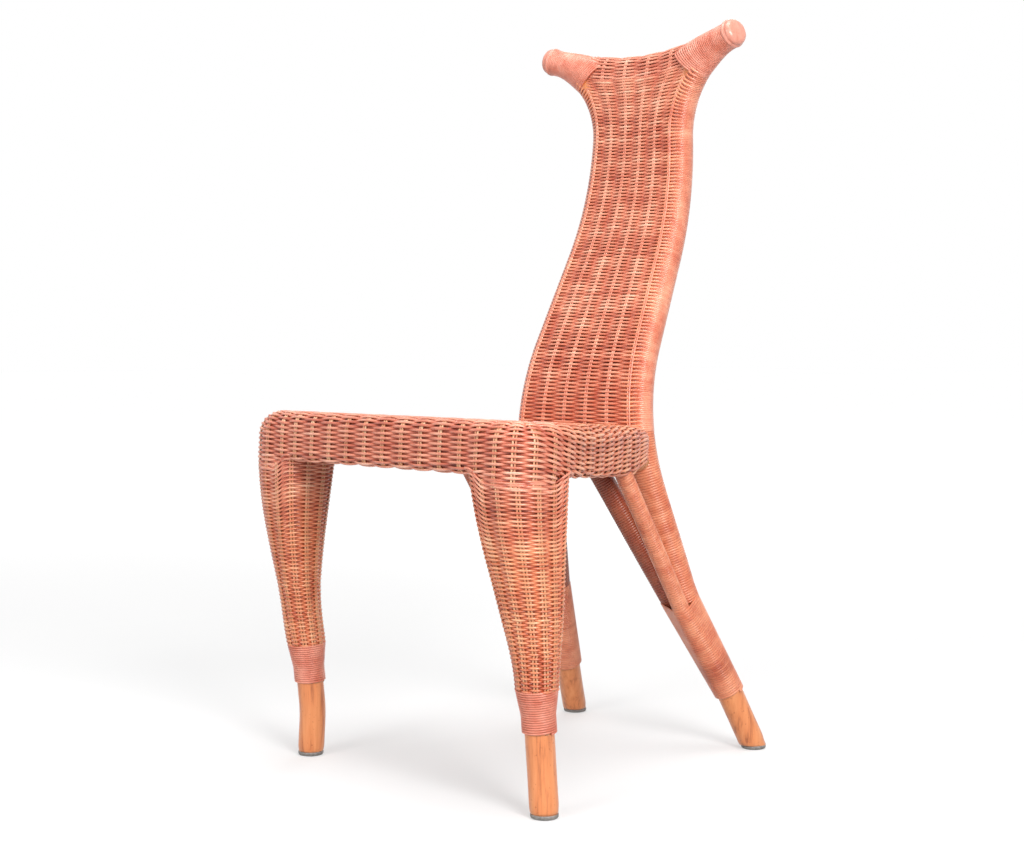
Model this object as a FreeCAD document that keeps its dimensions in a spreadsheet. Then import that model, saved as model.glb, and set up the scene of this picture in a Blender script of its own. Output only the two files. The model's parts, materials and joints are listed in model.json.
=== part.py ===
"""Woven rattan side chair with a narrow horned back, in millimetres, +Z up, front towards -Y."""
import FreeCAD
import Part
import Sketcher
import math
import os

Vector = FreeCAD.Vector
UP = Vector(0, 0, 1)
SIDES = (("left", -1), ("right", 1))

# Driving dimensions, each with the thing it measures
SIZES = (
    ("pole_diameter", 34, "bare leg poles and back posts"),
    ("rail_diameter", 24, "seat rails"),
    ("top_rail_diameter", 28, "crescent rail at the top of the back"),
    ("bearer_diameter", 14, "rods under the seat weave"),
    ("side_brace_diameter", 18, "thin brace from the side rail to the rear leg"),
    ("inner_brace_diameter", 24, "thick brace from the rear rail to the rear leg"),
    ("fit_gap", 0.3, "clearance between pieces that touch"),
    ("cane_wrap", 1.8, "fine cane wound on posts and braces"),
    ("rail_weave", 4, "weave rolled over the top rail"),
    ("weave_wall", 6, "thickness of seat and leg weave"),
    ("panel_thickness", 6, "each wall of the back weave"),
    ("stake_rib", 1.6, "pairs of stakes, proud of the weave"),
    ("back_stakes", 6, "pairs of stakes across the back"),
    ("stake_width", 6, "a pair of stakes"),
    ("stake_pitch", 34.6, "pairs of stakes along the seat's edge, about"),
    ("front_foot_inset", 34.5, "front foot, in from the side of the seat"),
    ("front_shin_inset", 39.5, "front pole above the foot, in from the side of the seat"),
    ("front_shin_height", 60, "height of that bend"),
    ("front_calf_inset", 37.5, "front pole at mid leg, in from the side of the seat"),
    ("front_calf_forward", 14, "front pole at mid leg, ahead of the feet"),
    ("front_calf_height", 200, "height of that bend"),
    ("front_bend_radius", 220, "bends of the front poles"),
    ("seat_height", 457, "top of the seat at its front edge"),
    ("seat_slope", 3.5, "fall of the seat towards the back, degrees"),
    ("seat_thickness", 62, "height of the woven seat edge"),
    ("seat_overhang", 72.4, "front edge of the seat ahead of the feet"),
    ("seat_half_width", 252, "half of the seat's front width"),
    ("seat_rear_half_width", 128, "half of the seat's rear width"),
    ("seat_flank", 81, "straight side behind the front corner"),
    ("seat_corner_radius", 38, "front corners of the seat in plan"),
    ("seat_flank_radius", 150, "turn of the seat side in plan"),
    ("seat_rear_radius", 20, "rear corners of the seat in plan"),
    ("lower_lip", 4, "weave under the lower rails"),
    ("bearer_front_pitch", 72, "spacing of the bearers at the front rail"),
    ("bearer_rear_pitch", 38, "spacing of the bearers at the rear rail"),
    ("rear_foot_half_spread", 166.5, "rear foot from the middle"),
    ("rear_foot_back", 450, "rear foot behind the front feet"),
    ("post_ankle_half_spread", 150, "corner of the post's line at its ankle, from the middle"),
    ("post_ankle_back", 416.5, "that corner behind the front feet"),
    ("post_ankle_height", 78, "height of that corner"),
    ("post_shin_half_spread", 127.5, "corner of the post's line at its shin, from the middle"),
    ("post_shin_back", 350, "that corner behind the front feet"),
    ("post_shin_height", 205, "height of that corner"),
    ("post_leg_radius", 300, "bends of the post at ankle and shin"),
    ("post_knee_half_spread", 95.5, "post at seat height, from the middle"),
    ("post_knee_back", 275, "corner of the post's line at the seat, behind the front feet"),
    ("post_knee_height", 447, "height of that corner"),
    ("post_knee_radius", 265, "bend of the post at the seat"),
    ("post_neck_half_spread", 71.5, "post at the neck, from the middle"),
    ("post_neck_back", 402, "corner of the post's line at the neck, behind the front feet"),
    ("post_neck_height", 728.5, "height of that corner"),
    ("post_neck_radius", 430, "bend of the post at the neck"),
    ("post_crown_half_spread", 60, "corner of the post's line under the horn, from the middle"),
    ("post_crown_back", 411.5, "that corner behind the front feet"),
    ("post_crown_drop", 32, "that corner below the horn's end"),
    ("post_crown_radius", 120, "flare of the horn"),
    ("horn_half_spread", 162, "end of the horn's pole, from the middle"),
    ("horn_back", 399.7, "end of the horn's pole behind the front feet"),
    ("horn_height", 943, "height of the horn's end"),
    ("top_rail_drop", 26, "middle of the top rail below the horn's end"),
    ("top_rail_radius", 454, "crescent curve of the top rail"),
    ("top_rail_half_length", 92, "half of the top rail"),
    ("horn_root_length", 72, "horn binding, from the root to the end of the pole"),
    ("horn_root_tall", 31.5, "half height of the binding at its root"),
    ("horn_root_deep", 21.5, "half depth of the binding at its root"),
    ("horn_root_lift", 11.5, "root binding above the line of the pole"),
    ("horn_cap_length", 13, "domed cap beyond the end of the pole"),
    ("horn_cap_diameter", 37, "domed cap"),
    ("dowel_diameter", 8, "dowel of the domed cap"),
    ("dowel_length", 14, "dowel of the domed cap"),
    ("ankle_low", 98, "lower edge of the ankle binding"),
    ("ankle_high", 151, "upper edge of the ankle binding"),
    ("ankle_stakes", 0.6, "stake ends under the ankle binding at its lower edge"),
    ("ankle_flare", 5.4, "stake ends under the ankle binding at its upper edge"),
    ("ankle_reed", 2.3, "reed of the ankle binding"),
    ("ankle_turns", 18, "turns of the ankle binding"),
    ("sleeve_ankle_half", 25.5, "half width of the leg sleeve at the ankle"),
    ("sleeve_calf_half", 33.5, "half width of the leg sleeve at mid leg"),
    ("sleeve_calf_height", 250, "height of that section"),
    ("sleeve_calf_inset", 36.5, "that section, in from the side of the seat"),
    ("sleeve_calf_forward", 21, "that section ahead of the feet"),
    ("sleeve_thigh_half", 42, "half width of the leg sleeve below the seat"),
    ("sleeve_thigh_height", 335, "height of that section"),
    ("sleeve_thigh_inset", 42.5, "that section, in from the side of the seat"),
    ("sleeve_thigh_forward", 28.2, "that section ahead of the feet"),
    ("sleeve_top_half", 47, "half width of the leg sleeve at the seat"),
    ("sleeve_corner_radius", 18, "inner front and outer rear corners of the leg sleeve"),
    ("sleeve_round_radius", 30, "outer front and inner rear corners of the leg sleeve"),
    ("side_brace_back", 202, "top of the side brace behind the front feet"),
    ("side_brace_low_half_spread", 139.7, "foot of the side brace, from the middle"),
    ("side_brace_low_back", 340.9, "foot of the side brace behind the front feet"),
    ("inner_brace_half_spread", 39, "top of the inner brace, from the middle"),
    ("inner_brace_low_half_spread", 110.9, "foot of the inner brace, from the middle"),
    ("inner_brace_low_back", 363.4, "foot of the inner brace behind the front feet"),
    ("brace_low_height", 178, "height of the braces' feet"),
    ("cuff_low", 79, "lower edge of the rear cuff"),
    ("cuff_high", 207, "upper edge of the rear cuff on the post"),
    ("cuff_wall", 1.6, "rear cuff"),
    ("brace_shave", 12, "braces shaved below the face of the post at the cuff's lower edge"),
    ("glide_diameter", 30, "glides under the feet"),
    ("glide_height", 4, "glides under the feet"),
    ("glide_pin_diameter", 3.4, "pin of a glide"),
    ("glide_pin_length", 14, "pin of a glide"),
    ("screw_diameter", 4, "screws of the seat frame"),
    ("screw_length", 42, "screws of the seat frame"),
    ("screw_head_diameter", 8, "screws of the seat frame"),
    ("screw_sink", 2.6, "screw heads below the face of the rail"),
    ("screw_stagger", 3, "screws above or below the middle of the rail where two cross"),
    ("rear_screw_inset", 10, "rear screws inward of the middle of the post"),
)

doc = FreeCAD.newDocument("rattan_chair")
sheet = doc.addObject("Spreadsheet::Sheet", "sizes")
for row, (alias, value, meaning) in enumerate(SIZES, start=1):
    sheet.set("A%d" % row, meaning)
    sheet.set("B%d" % row, str(value))
    sheet.setAlias("B%d" % row, alias)
doc.recompute()


def size(alias):
    return float(sheet.get(alias))


gap = size("fit_gap")
pole_radius = size("pole_diameter") / 2
rail_radius = size("rail_diameter") / 2
top_rail_radius = size("top_rail_diameter") / 2
bearer_radius = size("bearer_diameter") / 2
wrap_radius = pole_radius + gap + size("cane_wrap")
BIG = 4 * size("seat_height")
pieces = []


# Helpers for the document

def piece(label, shape):
    """A finished piece whose form is set directly."""
    feature = doc.addObject("Part::Feature", label)
    feature.Label = label
    feature.Shape = shape
    pieces.append(feature)
    return feature


def finish(label, feature):
    """A finished piece made by other features of the document."""
    feature.Label = label
    pieces.append(feature)
    return feature


def origin_plane(body, role):
    return next(plane for plane in body.Origin.OriginFeatures if plane.Role == role)


def sketch_on(body, role, name):
    sketch = body.newObject("Sketcher::SketchObject", name)
    sketch.AttachmentSupport = (origin_plane(body, role), [""])
    sketch.MapMode = "FlatFace"
    return sketch


def closed_outline(sketch, corners):
    """Straight lines through the corners, each corner held at its place."""
    count = len(corners)
    for index, corner in enumerate(corners):
        after = corners[(index + 1) % count]
        sketch.addGeometry(Part.LineSegment(Vector(*corner, 0), Vector(*after, 0)), False)
    for index in range(count):
        sketch.addConstraint(Sketcher.Constraint("Coincident", index, 2, (index + 1) % count, 1))
    for index, corner in enumerate(corners):
        sketch.addConstraint(Sketcher.Constraint("DistanceX", -1, 1, index, 1, corner[0]))
        sketch.addConstraint(Sketcher.Constraint("DistanceY", -1, 1, index, 1, corner[1]))


def turned(label, corners, place):
    """A piece turned about its own Z axis from a half outline of (radius, height) corners."""
    body = doc.addObject("PartDesign::Body", label)
    profile = sketch_on(body, "XZ_Plane", label + "_profile")
    closed_outline(profile, corners)
    turning = body.newObject("PartDesign::Revolution", label + "_turning")
    turning.Profile = profile
    turning.ReferenceAxis = (profile, ["V_Axis"])
    turning.Angle = 360
    body.Placement = place
    return body


# Helpers for bent and straight poles

def spot(x, y, z):
    """A point given from the middle of the front feet on the floor."""
    return Vector(x, y - middle, z)


def round_section(radius):
    return lambda point, along: Part.Face(Part.Wire([Part.makeCircle(radius, point, along)]))


def bends(points, radii):
    """Where each inner corner's arc starts and ends, with its centre, axis and turn."""
    found = []
    for before, corner, after, radius in zip(points, points[1:], points[2:], radii):
        ahead = (corner - before).normalize()
        onward = (after - corner).normalize()
        turn = ahead.getAngle(onward)
        reach = radius * math.tan(turn / 2)
        axis = ahead.cross(onward).normalize()
        start = corner - ahead * reach
        centre = start + axis.cross(ahead) * radius
        found.append((start, corner + onward * reach, centre, axis, turn))
    return found


def swept(points, radii, section):
    """A section carried along straight runs that tangent arcs join."""
    arcs = bends(points, radii)
    starts = [points[0]] + [arc[1] for arc in arcs]
    stops = [arc[0] for arc in arcs] + [points[-1]]
    solids = []
    for start, stop in zip(starts, stops):
        solids.append(section(start, stop - start).extrude(stop - start))
    for (start, stop, centre, axis, turn), begin in zip(arcs, starts):
        solids.append(section(start, start - begin).revolve(centre, axis, math.degrees(turn)))
    return solids[0].fuse(solids[1:])


def centre_line(points, radii):
    arcs = bends(points, radii)
    starts = [points[0]] + [arc[1] for arc in arcs]
    stops = [arc[0] for arc in arcs] + [points[-1]]
    edges = []
    for index, (start, stop) in enumerate(zip(starts, stops)):
        edges.append(Part.makeLine(start, stop))
        if index < len(arcs):
            begin, end, centre, axis, turn = arcs[index]
            half = FreeCAD.Rotation(axis, math.degrees(turn / 2))
            crest = centre + half.multVec(begin - centre)
            edges.append(Part.Arc(begin, crest, end).toShape())
    return Part.Wire(edges)


def straight(start, stop, radius):
    return Part.makeCylinder(radius, (stop - start).Length, start, stop - start)


def from_end(line, distance):
    """Point and direction on a line, measured back from its end."""
    left = distance
    for edge in reversed(line.Edges):
        if left <= edge.Length:
            where = edge.getParameterByLength(edge.Length - left)
            return edge.valueAt(where), edge.tangentAt(where)
        left -= edge.Length
    raise ValueError("longer than the line")


def mirrored(shape):
    return shape.mirror(Vector(0, 0, 0), Vector(1, 0, 0))


def handed(shape, hand):
    """The right-hand form, or its mirror image for the left."""
    return shape if hand > 0 else mirrored(shape)


def pair(label, shape):
    for side, hand in SIDES:
        piece(label + "_" + side, handed(shape, hand))


def below(height):
    return Part.makeBox(2 * BIG, 2 * BIG, BIG, Vector(-BIG, -BIG, height - BIG))


# Frame of the chair: the origin lies midway between the seat's front edge and the rear feet
def rear_foot_reach():
    """How far back the slanted foot of a post reaches where it is cut level on its glide."""
    rise = size("post_ankle_height")
    run_x = size("post_ankle_half_spread") - size("rear_foot_half_spread")
    run_y = size("post_ankle_back") - size("rear_foot_back")
    length = math.sqrt(run_x ** 2 + run_y ** 2 + rise ** 2)
    at_glide = size("rear_foot_back") + run_y * size("glide_height") / rise
    return at_glide + pole_radius * math.sqrt(1 - (run_x / length) ** 2) / (rise / length)


slope = math.radians(size("seat_slope"))
seat_front = -size("seat_overhang") - size("seat_thickness") * math.sin(slope)
middle = (seat_front + rear_foot_reach()) / 2

seat_place = FreeCAD.Placement(
    spot(0, -size("seat_overhang"), size("seat_height")),
    FreeCAD.Rotation(Vector(1, 0, 0), -size("seat_slope")))


def on_seat(x, back, rise):
    """A point given in the seat's own sloping frame: across, back from its edge, above its top."""
    return seat_place.multVec(Vector(x, back, rise))


def seat_layer(low, high):
    box = Part.makeBox(2 * BIG, 2 * BIG, high - low, Vector(-BIG, -BIG, low))
    box.Placement = seat_place
    return box


# Centre line of the right back post, from its foot to the end of its horn
post_foot = spot(size("rear_foot_half_spread"), size("rear_foot_back"), 0)
post_ankle = spot(size("post_ankle_half_spread"), size("post_ankle_back"), size("post_ankle_height"))
post_shin = spot(size("post_shin_half_spread"), size("post_shin_back"), size("post_shin_height"))
post_knee = spot(size("post_knee_half_spread"), size("post_knee_back"), size("post_knee_height"))
post_neck = spot(size("post_neck_half_spread"), size("post_neck_back"), size("post_neck_height"))
post_crown = spot(size("post_crown_half_spread"), size("post_crown_back"),
                  size("horn_height") - size("post_crown_drop"))
post_end = spot(size("horn_half_spread"), size("horn_back"), size("horn_height"))
post_start = post_foot + (post_foot - post_ankle).normalize() * size("pole_diameter")
post_points = [post_start, post_ankle, post_shin, post_knee, post_neck, post_crown, post_end]
post_radii = [size("post_leg_radius"), size("post_leg_radius"), size("post_knee_radius"),
              size("post_neck_radius"), size("post_crown_radius")]
post_line = centre_line(post_points, post_radii)


def post_rod(radius):
    return swept(post_points, post_radii, round_section(radius))


# Seat rails: an upper and a lower ring that the weave rolls round
inset = size("weave_wall") + gap + rail_radius
lap = rail_radius + gap + pole_radius
RINGS = (("upper", -inset), ("lower", -(size("seat_thickness") - size("lower_lip") - rail_radius)))
front_rail_half = size("seat_half_width") - size("seat_corner_radius")


def post_at(rise):
    """Where the post's centre line crosses a level of the seat, in the seat's frame."""
    level = Part.makePlane(2 * BIG, 2 * BIG, Vector(-BIG, -BIG, rise))
    level.Placement = seat_place
    contact = level.distToShape(post_line)[1][0][1]
    return seat_place.inverse().multVec(contact)


def rear_rail_back(rise):
    """Distance of the rear rail's line from the seat's edge, lapped on the front of the posts."""
    back = post_at(rise).y - lap
    for step in range(8):
        line = Part.makeLine(on_seat(-BIG, back, rise), on_seat(BIG, back, rise))
        back += line.distToShape(post_line)[0] - lap
    return back


def side_rail_points(rise):
    """The side rail follows the weave from just behind the front rail, then turns towards the post."""
    across = size("seat_half_width") - inset
    lean = math.atan2(size("seat_half_width") - size("seat_rear_half_width"), seat_depth - size("seat_flank"))
    turn = Vector(across, size("seat_flank") - inset * math.tan(lean / 2), rise)
    return [Vector(across, inset + rail_radius + gap, rise), turn, post_at(rise)]


seat_depth = max(rear_rail_back(rise) for ring, rise in RINGS) + inset
side_rail_radii = [size("seat_flank_radius") - inset]

# Centre line of the right front pole, upright inside the seat, clear of both rails it is lapped on
knee_back = inset + lap
knee_across = size("seat_half_width") - inset - lap
front_foot = spot(size("seat_half_width") - size("front_foot_inset"), 0, 0)
front_shin = spot(size("seat_half_width") - size("front_shin_inset"), 0, size("front_shin_height"))
front_calf = spot(size("seat_half_width") - size("front_calf_inset"), -size("front_calf_forward"),
                  size("front_calf_height"))
front_knee = on_seat(knee_across, knee_back, -size("seat_thickness") - rail_radius)
front_top = on_seat(knee_across, knee_back, 0)
front_start = front_foot + (front_foot - front_shin).normalize() * size("pole_diameter")
front_points = [front_start, front_shin, front_calf, front_knee, front_top]
front_radii = [size("front_bend_radius")] * 3
front_line = centre_line(front_points, front_radii)


def front_rod(radius):
    return swept(front_points, front_radii, round_section(radius))


# Screws: each is given by the point where its head sits and the way it points
screw_radius = size("screw_diameter") / 2
screw_head_radius = size("screw_head_diameter") / 2


def screw(head, along, clearance):
    """A countersunk screw, or with a clearance the hole for it and its sunk head."""
    along = Vector(along).normalize()
    cone_length = screw_head_radius - screw_radius
    shank = Part.makeCylinder(screw_radius + clearance, size("screw_length") + clearance, head, along)
    cone = Part.makeCone(screw_head_radius + clearance, screw_radius + clearance, cone_length, head, along)
    solid = shank.fuse(cone)
    if clearance > 0:
        mouth = Part.makeCylinder(screw_head_radius + clearance, 2 * rail_radius, head, along * -1)
        solid = solid.fuse(mouth)
    return solid


back_way = seat_place.Rotation.multVec(Vector(0, 1, 0))
inward_way = Vector(-1, 0, 0)
head_out = rail_radius - size("screw_sink")
stagger = size("screw_stagger")
front_screws = []
side_screws = []
rear_screws = []
for ring, rise in RINGS:
    front_screws.append((on_seat(knee_across, inset - head_out, rise + stagger), back_way))
    side_head = on_seat(size("seat_half_width") - inset + head_out, knee_back, rise - stagger)
    side_screws.append((side_head, inward_way))
    rear_across = post_at(rise).x - size("rear_screw_inset")
    rear_screws.append((on_seat(rear_across, rear_rail_back(rise) - head_out, rise), back_way))


def screw_set(places, clearance):
    return [screw(head, along, clearance) for head, along in places]


# Pins, dowels and the glides under the feet
def foot_centre(line):
    level = Part.makePlane(2 * BIG, 2 * BIG, Vector(-BIG, -BIG, size("glide_height")))
    return level.distToShape(line)[1][0][1]


def pin_hole(centre):
    radius = size("glide_pin_diameter") / 2 + gap
    return Part.makeCylinder(radius, size("glide_pin_length") + gap, centre, UP)


def glide(label, centre):
    """A thin cap with a softened rim and a pin that is driven into the pole."""
    radius = size("glide_diameter") / 2
    height = size("glide_height")
    pin = size("glide_pin_diameter") / 2
    soft = height / 2
    corners = [(0, -height), (radius - soft, -height), (radius, -height + soft), (radius, 0),
               (pin, 0), (pin, size("glide_pin_length")), (0, size("glide_pin_length"))]
    body = turned(label, corners, FreeCAD.Placement(centre, FreeCAD.Rotation()))
    finish(label, body)


# Legs, posts and top rail
cap_way = (post_end - post_crown).normalize()
dowel_radius = size("dowel_diameter") / 2
dowel_hole = Part.makeCylinder(dowel_radius + gap, size("dowel_length") + gap, post_end, cap_way * -1)
front_pole = front_rod(pole_radius).cut(
    [below(size("glide_height")), seat_layer(-size("weave_wall") - gap, BIG),
     pin_hole(foot_centre(front_line))]
    + screw_set(front_screws + side_screws, gap))
back_post = post_rod(pole_radius).cut(
    [below(size("glide_height")), pin_hole(foot_centre(post_line)), dowel_hole]
    + screw_set(rear_screws, gap))
pair("front_leg_pole", front_pole)
pair("back_post", back_post)
for side, hand in SIDES:
    for end, line in (("front", front_line), ("rear", post_line)):
        centre = foot_centre(line)
        glide(end + "_glide_" + side, Vector(hand * centre.x, centre.y, centre.z))


def crescent(radius):
    """The curved top rail, highest at its ends."""
    bow = size("top_rail_radius")
    swing = math.degrees(2 * math.asin(size("top_rail_half_length") / bow))
    low = spot(0, size("post_crown_back"), size("horn_height") - size("top_rail_drop"))
    centre = low + UP * bow
    across = FreeCAD.Rotation(Vector(0, 1, 0), swing / 2)
    start = centre + across.multVec(low - centre)
    face = round_section(radius)(start, across.multVec(Vector(1, 0, 0)))
    return face.revolve(centre, Vector(0, 1, 0), -swing)


post_room = [post_rod(pole_radius + gap), mirrored(post_rod(pole_radius + gap))]
piece("top_rail", crescent(top_rail_radius).cut(post_room))


# Seat frame
def rail(label, start, stop, tools):
    """A straight rail whose ends are cut to the pieces it meets."""
    stock = doc.addObject("Part::Cylinder", label + "_stock")
    stock.setExpression("Radius", "sizes.rail_diameter / 2")
    stock.Height = (stop - start).Length
    stock.Placement = FreeCAD.Placement(start, FreeCAD.Rotation(UP, stop - start))
    meets = doc.addObject("Part::Feature", label + "_meets")
    meets.Shape = tools[0].multiFuse(tools[1:])
    cut = doc.addObject("Part::Cut", label)
    cut.Base = stock
    cut.Tool = meets
    finish(label, cut)


front_rails = {}
rear_rails = {}
side_rails = {}
for ring, rise in RINGS:
    front_rails[ring] = (on_seat(-front_rail_half, inset, rise), on_seat(front_rail_half, inset, rise))
    side_points = side_rail_points(rise)
    side_rails[ring] = [seat_place.multVec(point) for point in side_points]
    back = rear_rail_back(rise)
    turn, end = side_points[1:]
    reach = turn.x + (end.x - turn.x) * (back - turn.y) / (end.y - turn.y)
    rear_rails[ring] = (on_seat(-reach, back, rise), on_seat(reach, back, rise))


def side_rail_rod(ring, radius):
    return swept(side_rails[ring], side_rail_radii, round_section(radius))


side_rail_rooms = {ring: side_rail_rod(ring, rail_radius + gap) for ring, rise in RINGS}
for number, (ring, rise) in enumerate(RINGS):
    front_holes = screw_set(front_screws[number:number + 1], gap)
    rear_holes = screw_set(rear_screws[number:number + 1], gap)
    side_holes = screw_set(side_screws[number:number + 1], gap)
    rail("seat_front_rail_" + ring, *front_rails[ring],
         front_holes + [mirrored(hole) for hole in front_holes])
    rail("seat_rear_rail_" + ring, *rear_rails[ring],
         [side_rail_rooms[ring], mirrored(side_rail_rooms[ring])]
         + rear_holes + [mirrored(hole) for hole in rear_holes])
    pair("seat_side_rail_" + ring, side_rail_rod(ring, rail_radius).cut([post_room[0]] + side_holes))

for label, places in (("front_rail_screws", front_screws), ("side_rail_screws", side_screws),
                      ("rear_rail_screws", rear_screws)):
    solids = screw_set(places, 0)
    piece(label, Part.makeCompound(solids + [mirrored(solid) for solid in solids]))

bearer_rise = -(size("weave_wall") + gap + bearer_radius)
upper_rooms = [straight(*front_rails["upper"], rail_radius + gap),
               straight(*rear_rails["upper"], rail_radius + gap)]
rear_back = rear_rail_back(RINGS[0][1])
for number in range(5):
    step = number - 2
    start = on_seat(step * size("bearer_front_pitch"), inset, bearer_rise)
    stop = on_seat(step * size("bearer_rear_pitch"), rear_back, bearer_rise)
    piece("seat_bearer_%d" % (number + 1), straight(start, stop, bearer_radius).cut(upper_rooms))


# Braces of the rear legs
side_top_start, side_top_stop = side_rails["lower"][1:]
share = (size("side_brace_back") - middle - side_top_start.y) / (side_top_stop.y - side_top_start.y)
side_brace_top = side_top_start + (side_top_stop - side_top_start) * share
side_brace_low = spot(size("side_brace_low_half_spread"), size("side_brace_low_back"),
                      size("brace_low_height"))
inner_brace_top = rear_rails["lower"][1] + (rear_rails["lower"][0] - rear_rails["lower"][1]).normalize() * (
    rear_rails["lower"][1].x - size("inner_brace_half_spread"))
inner_brace_low = spot(size("inner_brace_low_half_spread"), size("inner_brace_low_back"),
                       size("brace_low_height"))
brace_rooms = {"side": side_rail_rooms["lower"],
               "inner": straight(*rear_rails["lower"], rail_radius + gap)}
brace_lines = {"side": (side_brace_top, side_brace_low), "inner": (inner_brace_top, inner_brace_low)}
brace_radii = {"side": size("side_brace_diameter") / 2, "inner": size("inner_brace_diameter") / 2}


def brace_rod(name, radius, short):
    """A brace of a given radius that starts a little short of its rail's line."""
    top, low = brace_lines[name]
    return straight(top + (low - top).normalize() * short, low, radius)


# Cuff that binds a rear post and its braces
leg_way = (post_shin - post_ankle).normalize()


def leg_point(height):
    return post_ankle + leg_way * ((height - post_ankle.z) / leg_way.z)


def across_leg(name, height):
    """Where a brace crosses the level square to the post at a height on the post."""
    top, low = brace_lines[name]
    way = (low - top).normalize()
    return top + way * ((leg_point(height) - top).dot(leg_way) / way.dot(leg_way))


def taut_outline(circles, normal):
    """A band drawn tight round circles, each a centre and radius, taken anticlockwise about normal."""
    count = len(circles)
    tangents = []
    for index, (centre, radius) in enumerate(circles):
        after, after_radius = circles[(index + 1) % count]
        run = after - centre
        lean = math.asin((radius - after_radius) / run.Length)
        outward = run.normalize().cross(normal)
        outward = FreeCAD.Rotation(normal, math.degrees(lean)).multVec(outward)
        tangents.append((centre + outward * radius, after + outward * after_radius, outward))
    edges = []
    for index, (leave, arrive, outward) in enumerate(tangents):
        centre, radius = circles[(index + 1) % count]
        leave_next, arrive_next, outward_next = tangents[(index + 1) % count]
        edges.append(Part.makeLine(leave, arrive))
        crest = centre + (outward + outward_next).normalize() * radius
        edges.append(Part.Arc(arrive, crest, leave_next).toShape())
    return Part.Wire(edges)


def cuff_outline(height, spread, shrink, wall):
    centre = leg_point(height)
    circles = [(centre, pole_radius + wall)]
    for name in ("inner", "side"):
        offset = across_leg(name, size("cuff_high")) - leg_point(size("cuff_high"))
        radius = brace_radii[name] + (pole_radius - brace_radii[name]) * shrink + wall
        circles.append((centre + offset * spread, radius))
    return taut_outline(circles, leg_way)


def cuff_core(wall):
    """Post and braces bundled together, tapering down to the bare post, with a wall round them."""
    return Part.makeLoft([cuff_outline(size("cuff_low"), 0.05, 0.98, wall),
                          cuff_outline(size("cuff_high"), 1, 0, wall)], True, True)


# The braces are shaved to a taper inside the cuff and lie on the wound post above it
cuff_level = leg_point(size("cuff_high"))
above_cuff = Part.makeCylinder(BIG, BIG, cuff_level + leg_way * gap, leg_way)
inside_cuff = Part.makeCylinder(BIG, BIG, cuff_level, leg_way * -1)
wrap_room = post_rod(wrap_radius + gap)
inner_room = brace_rod("inner", brace_radii["inner"] + gap, 0)


def shaving(name):
    """What is taken off the outside of a brace inside the cuff."""
    offset = across_leg(name, size("cuff_high")) - cuff_level
    reach = offset.Length + brace_radii[name]
    outward = offset.normalize()
    top = cuff_level + outward * reach
    low = leg_point(size("cuff_low")) + outward * (pole_radius - size("brace_shave"))
    slant = (top - low).normalize()
    normal = slant.cross(leg_way.cross(outward)).normalize()
    if normal.dot(outward) < 0:
        normal = normal * -1
    block = Part.makeBox(BIG, BIG, BIG, Vector(-BIG / 2, -BIG / 2, 0))
    block.Placement = FreeCAD.Placement(top, FreeCAD.Rotation(UP, normal))
    return block.common(inside_cuff)


cuff_ease = 5 * gap
cuff_rooms = [cuff_core(gap + cuff_ease)]
for name in ("inner", "side"):
    cuff_rooms.append(brace_rod(name, brace_radii[name] + gap, 0).cut(shaving(name)))
pair("rear_leg_cuff", cuff_core(gap + cuff_ease + size("cuff_wall")).cut(cuff_rooms))

for name in ("inner", "side"):
    tools = [brace_rooms[name], post_room[0], wrap_room.common(above_cuff), shaving(name)]
    if name == "side":
        tools.append(inner_room)
    brace = brace_rod(name, brace_radii[name], rail_radius / 4)
    for tool in tools:
        brace = brace.cut(tool)
    brace = max(brace.Solids, key=lambda solid: solid.Volume)
    pair("rear_%s_brace" % name, brace)

# Fine cane wound on the posts and braces, between the seat and the cuff
under_seat = seat_layer(-BIG, -size("seat_thickness") - gap)
post_wrap = post_rod(wrap_radius).cut(post_room[0])
low_wrap = post_wrap.common(above_cuff).common(under_seat)
pair("rear_post_wrap", low_wrap)
inner_wrap_room = brace_rod("inner", brace_radii["inner"] + 2 * gap + size("cane_wrap"), 0)
for name in ("inner", "side"):
    outer = brace_radii[name] + gap + size("cane_wrap")
    tools = [brace_rod(name, brace_radii[name] + gap, 0), wrap_room]
    if name == "side":
        tools.append(inner_wrap_room)
    sleeve = brace_rod(name, outer, 0).common(above_cuff).common(under_seat)
    pair("%s_brace_wrap" % name, sleeve.cut(tools))


# Horn bindings and their domed caps
def horn_section(distance, tall, deep, lift, grow):
    point, along = from_end(post_line, distance)
    level = along.cross(Vector(0, 1, 0)).normalize()
    depth = along.cross(level).normalize()
    ring = Part.Ellipse(Vector(0, 0, 0), tall + grow, deep + grow).toShape()
    ring.Placement = FreeCAD.Placement(point + level * lift, FreeCAD.Rotation(level, depth, along, "ZXY"))
    return Part.Wire([ring])


def horn_sleeve(grow):
    """The binding swells from the end of the horn to a root that takes in the rail's end."""
    length = size("horn_root_length")
    round_wall = wrap_radius
    tall = size("horn_root_tall")
    deep = size("horn_root_deep")
    lift = size("horn_root_lift")
    sections = [(length, tall, deep, lift),
                (length * 0.65, (tall + round_wall) / 2, (deep + round_wall) / 2, lift * 0.35),
                (length * 0.3, round_wall * 1.03, round_wall * 1.01, lift * 0.05),
                (0, round_wall * 1.001, round_wall, 0)]
    return Part.makeLoft([horn_section(*section, grow) for section in sections], True, False)


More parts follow.
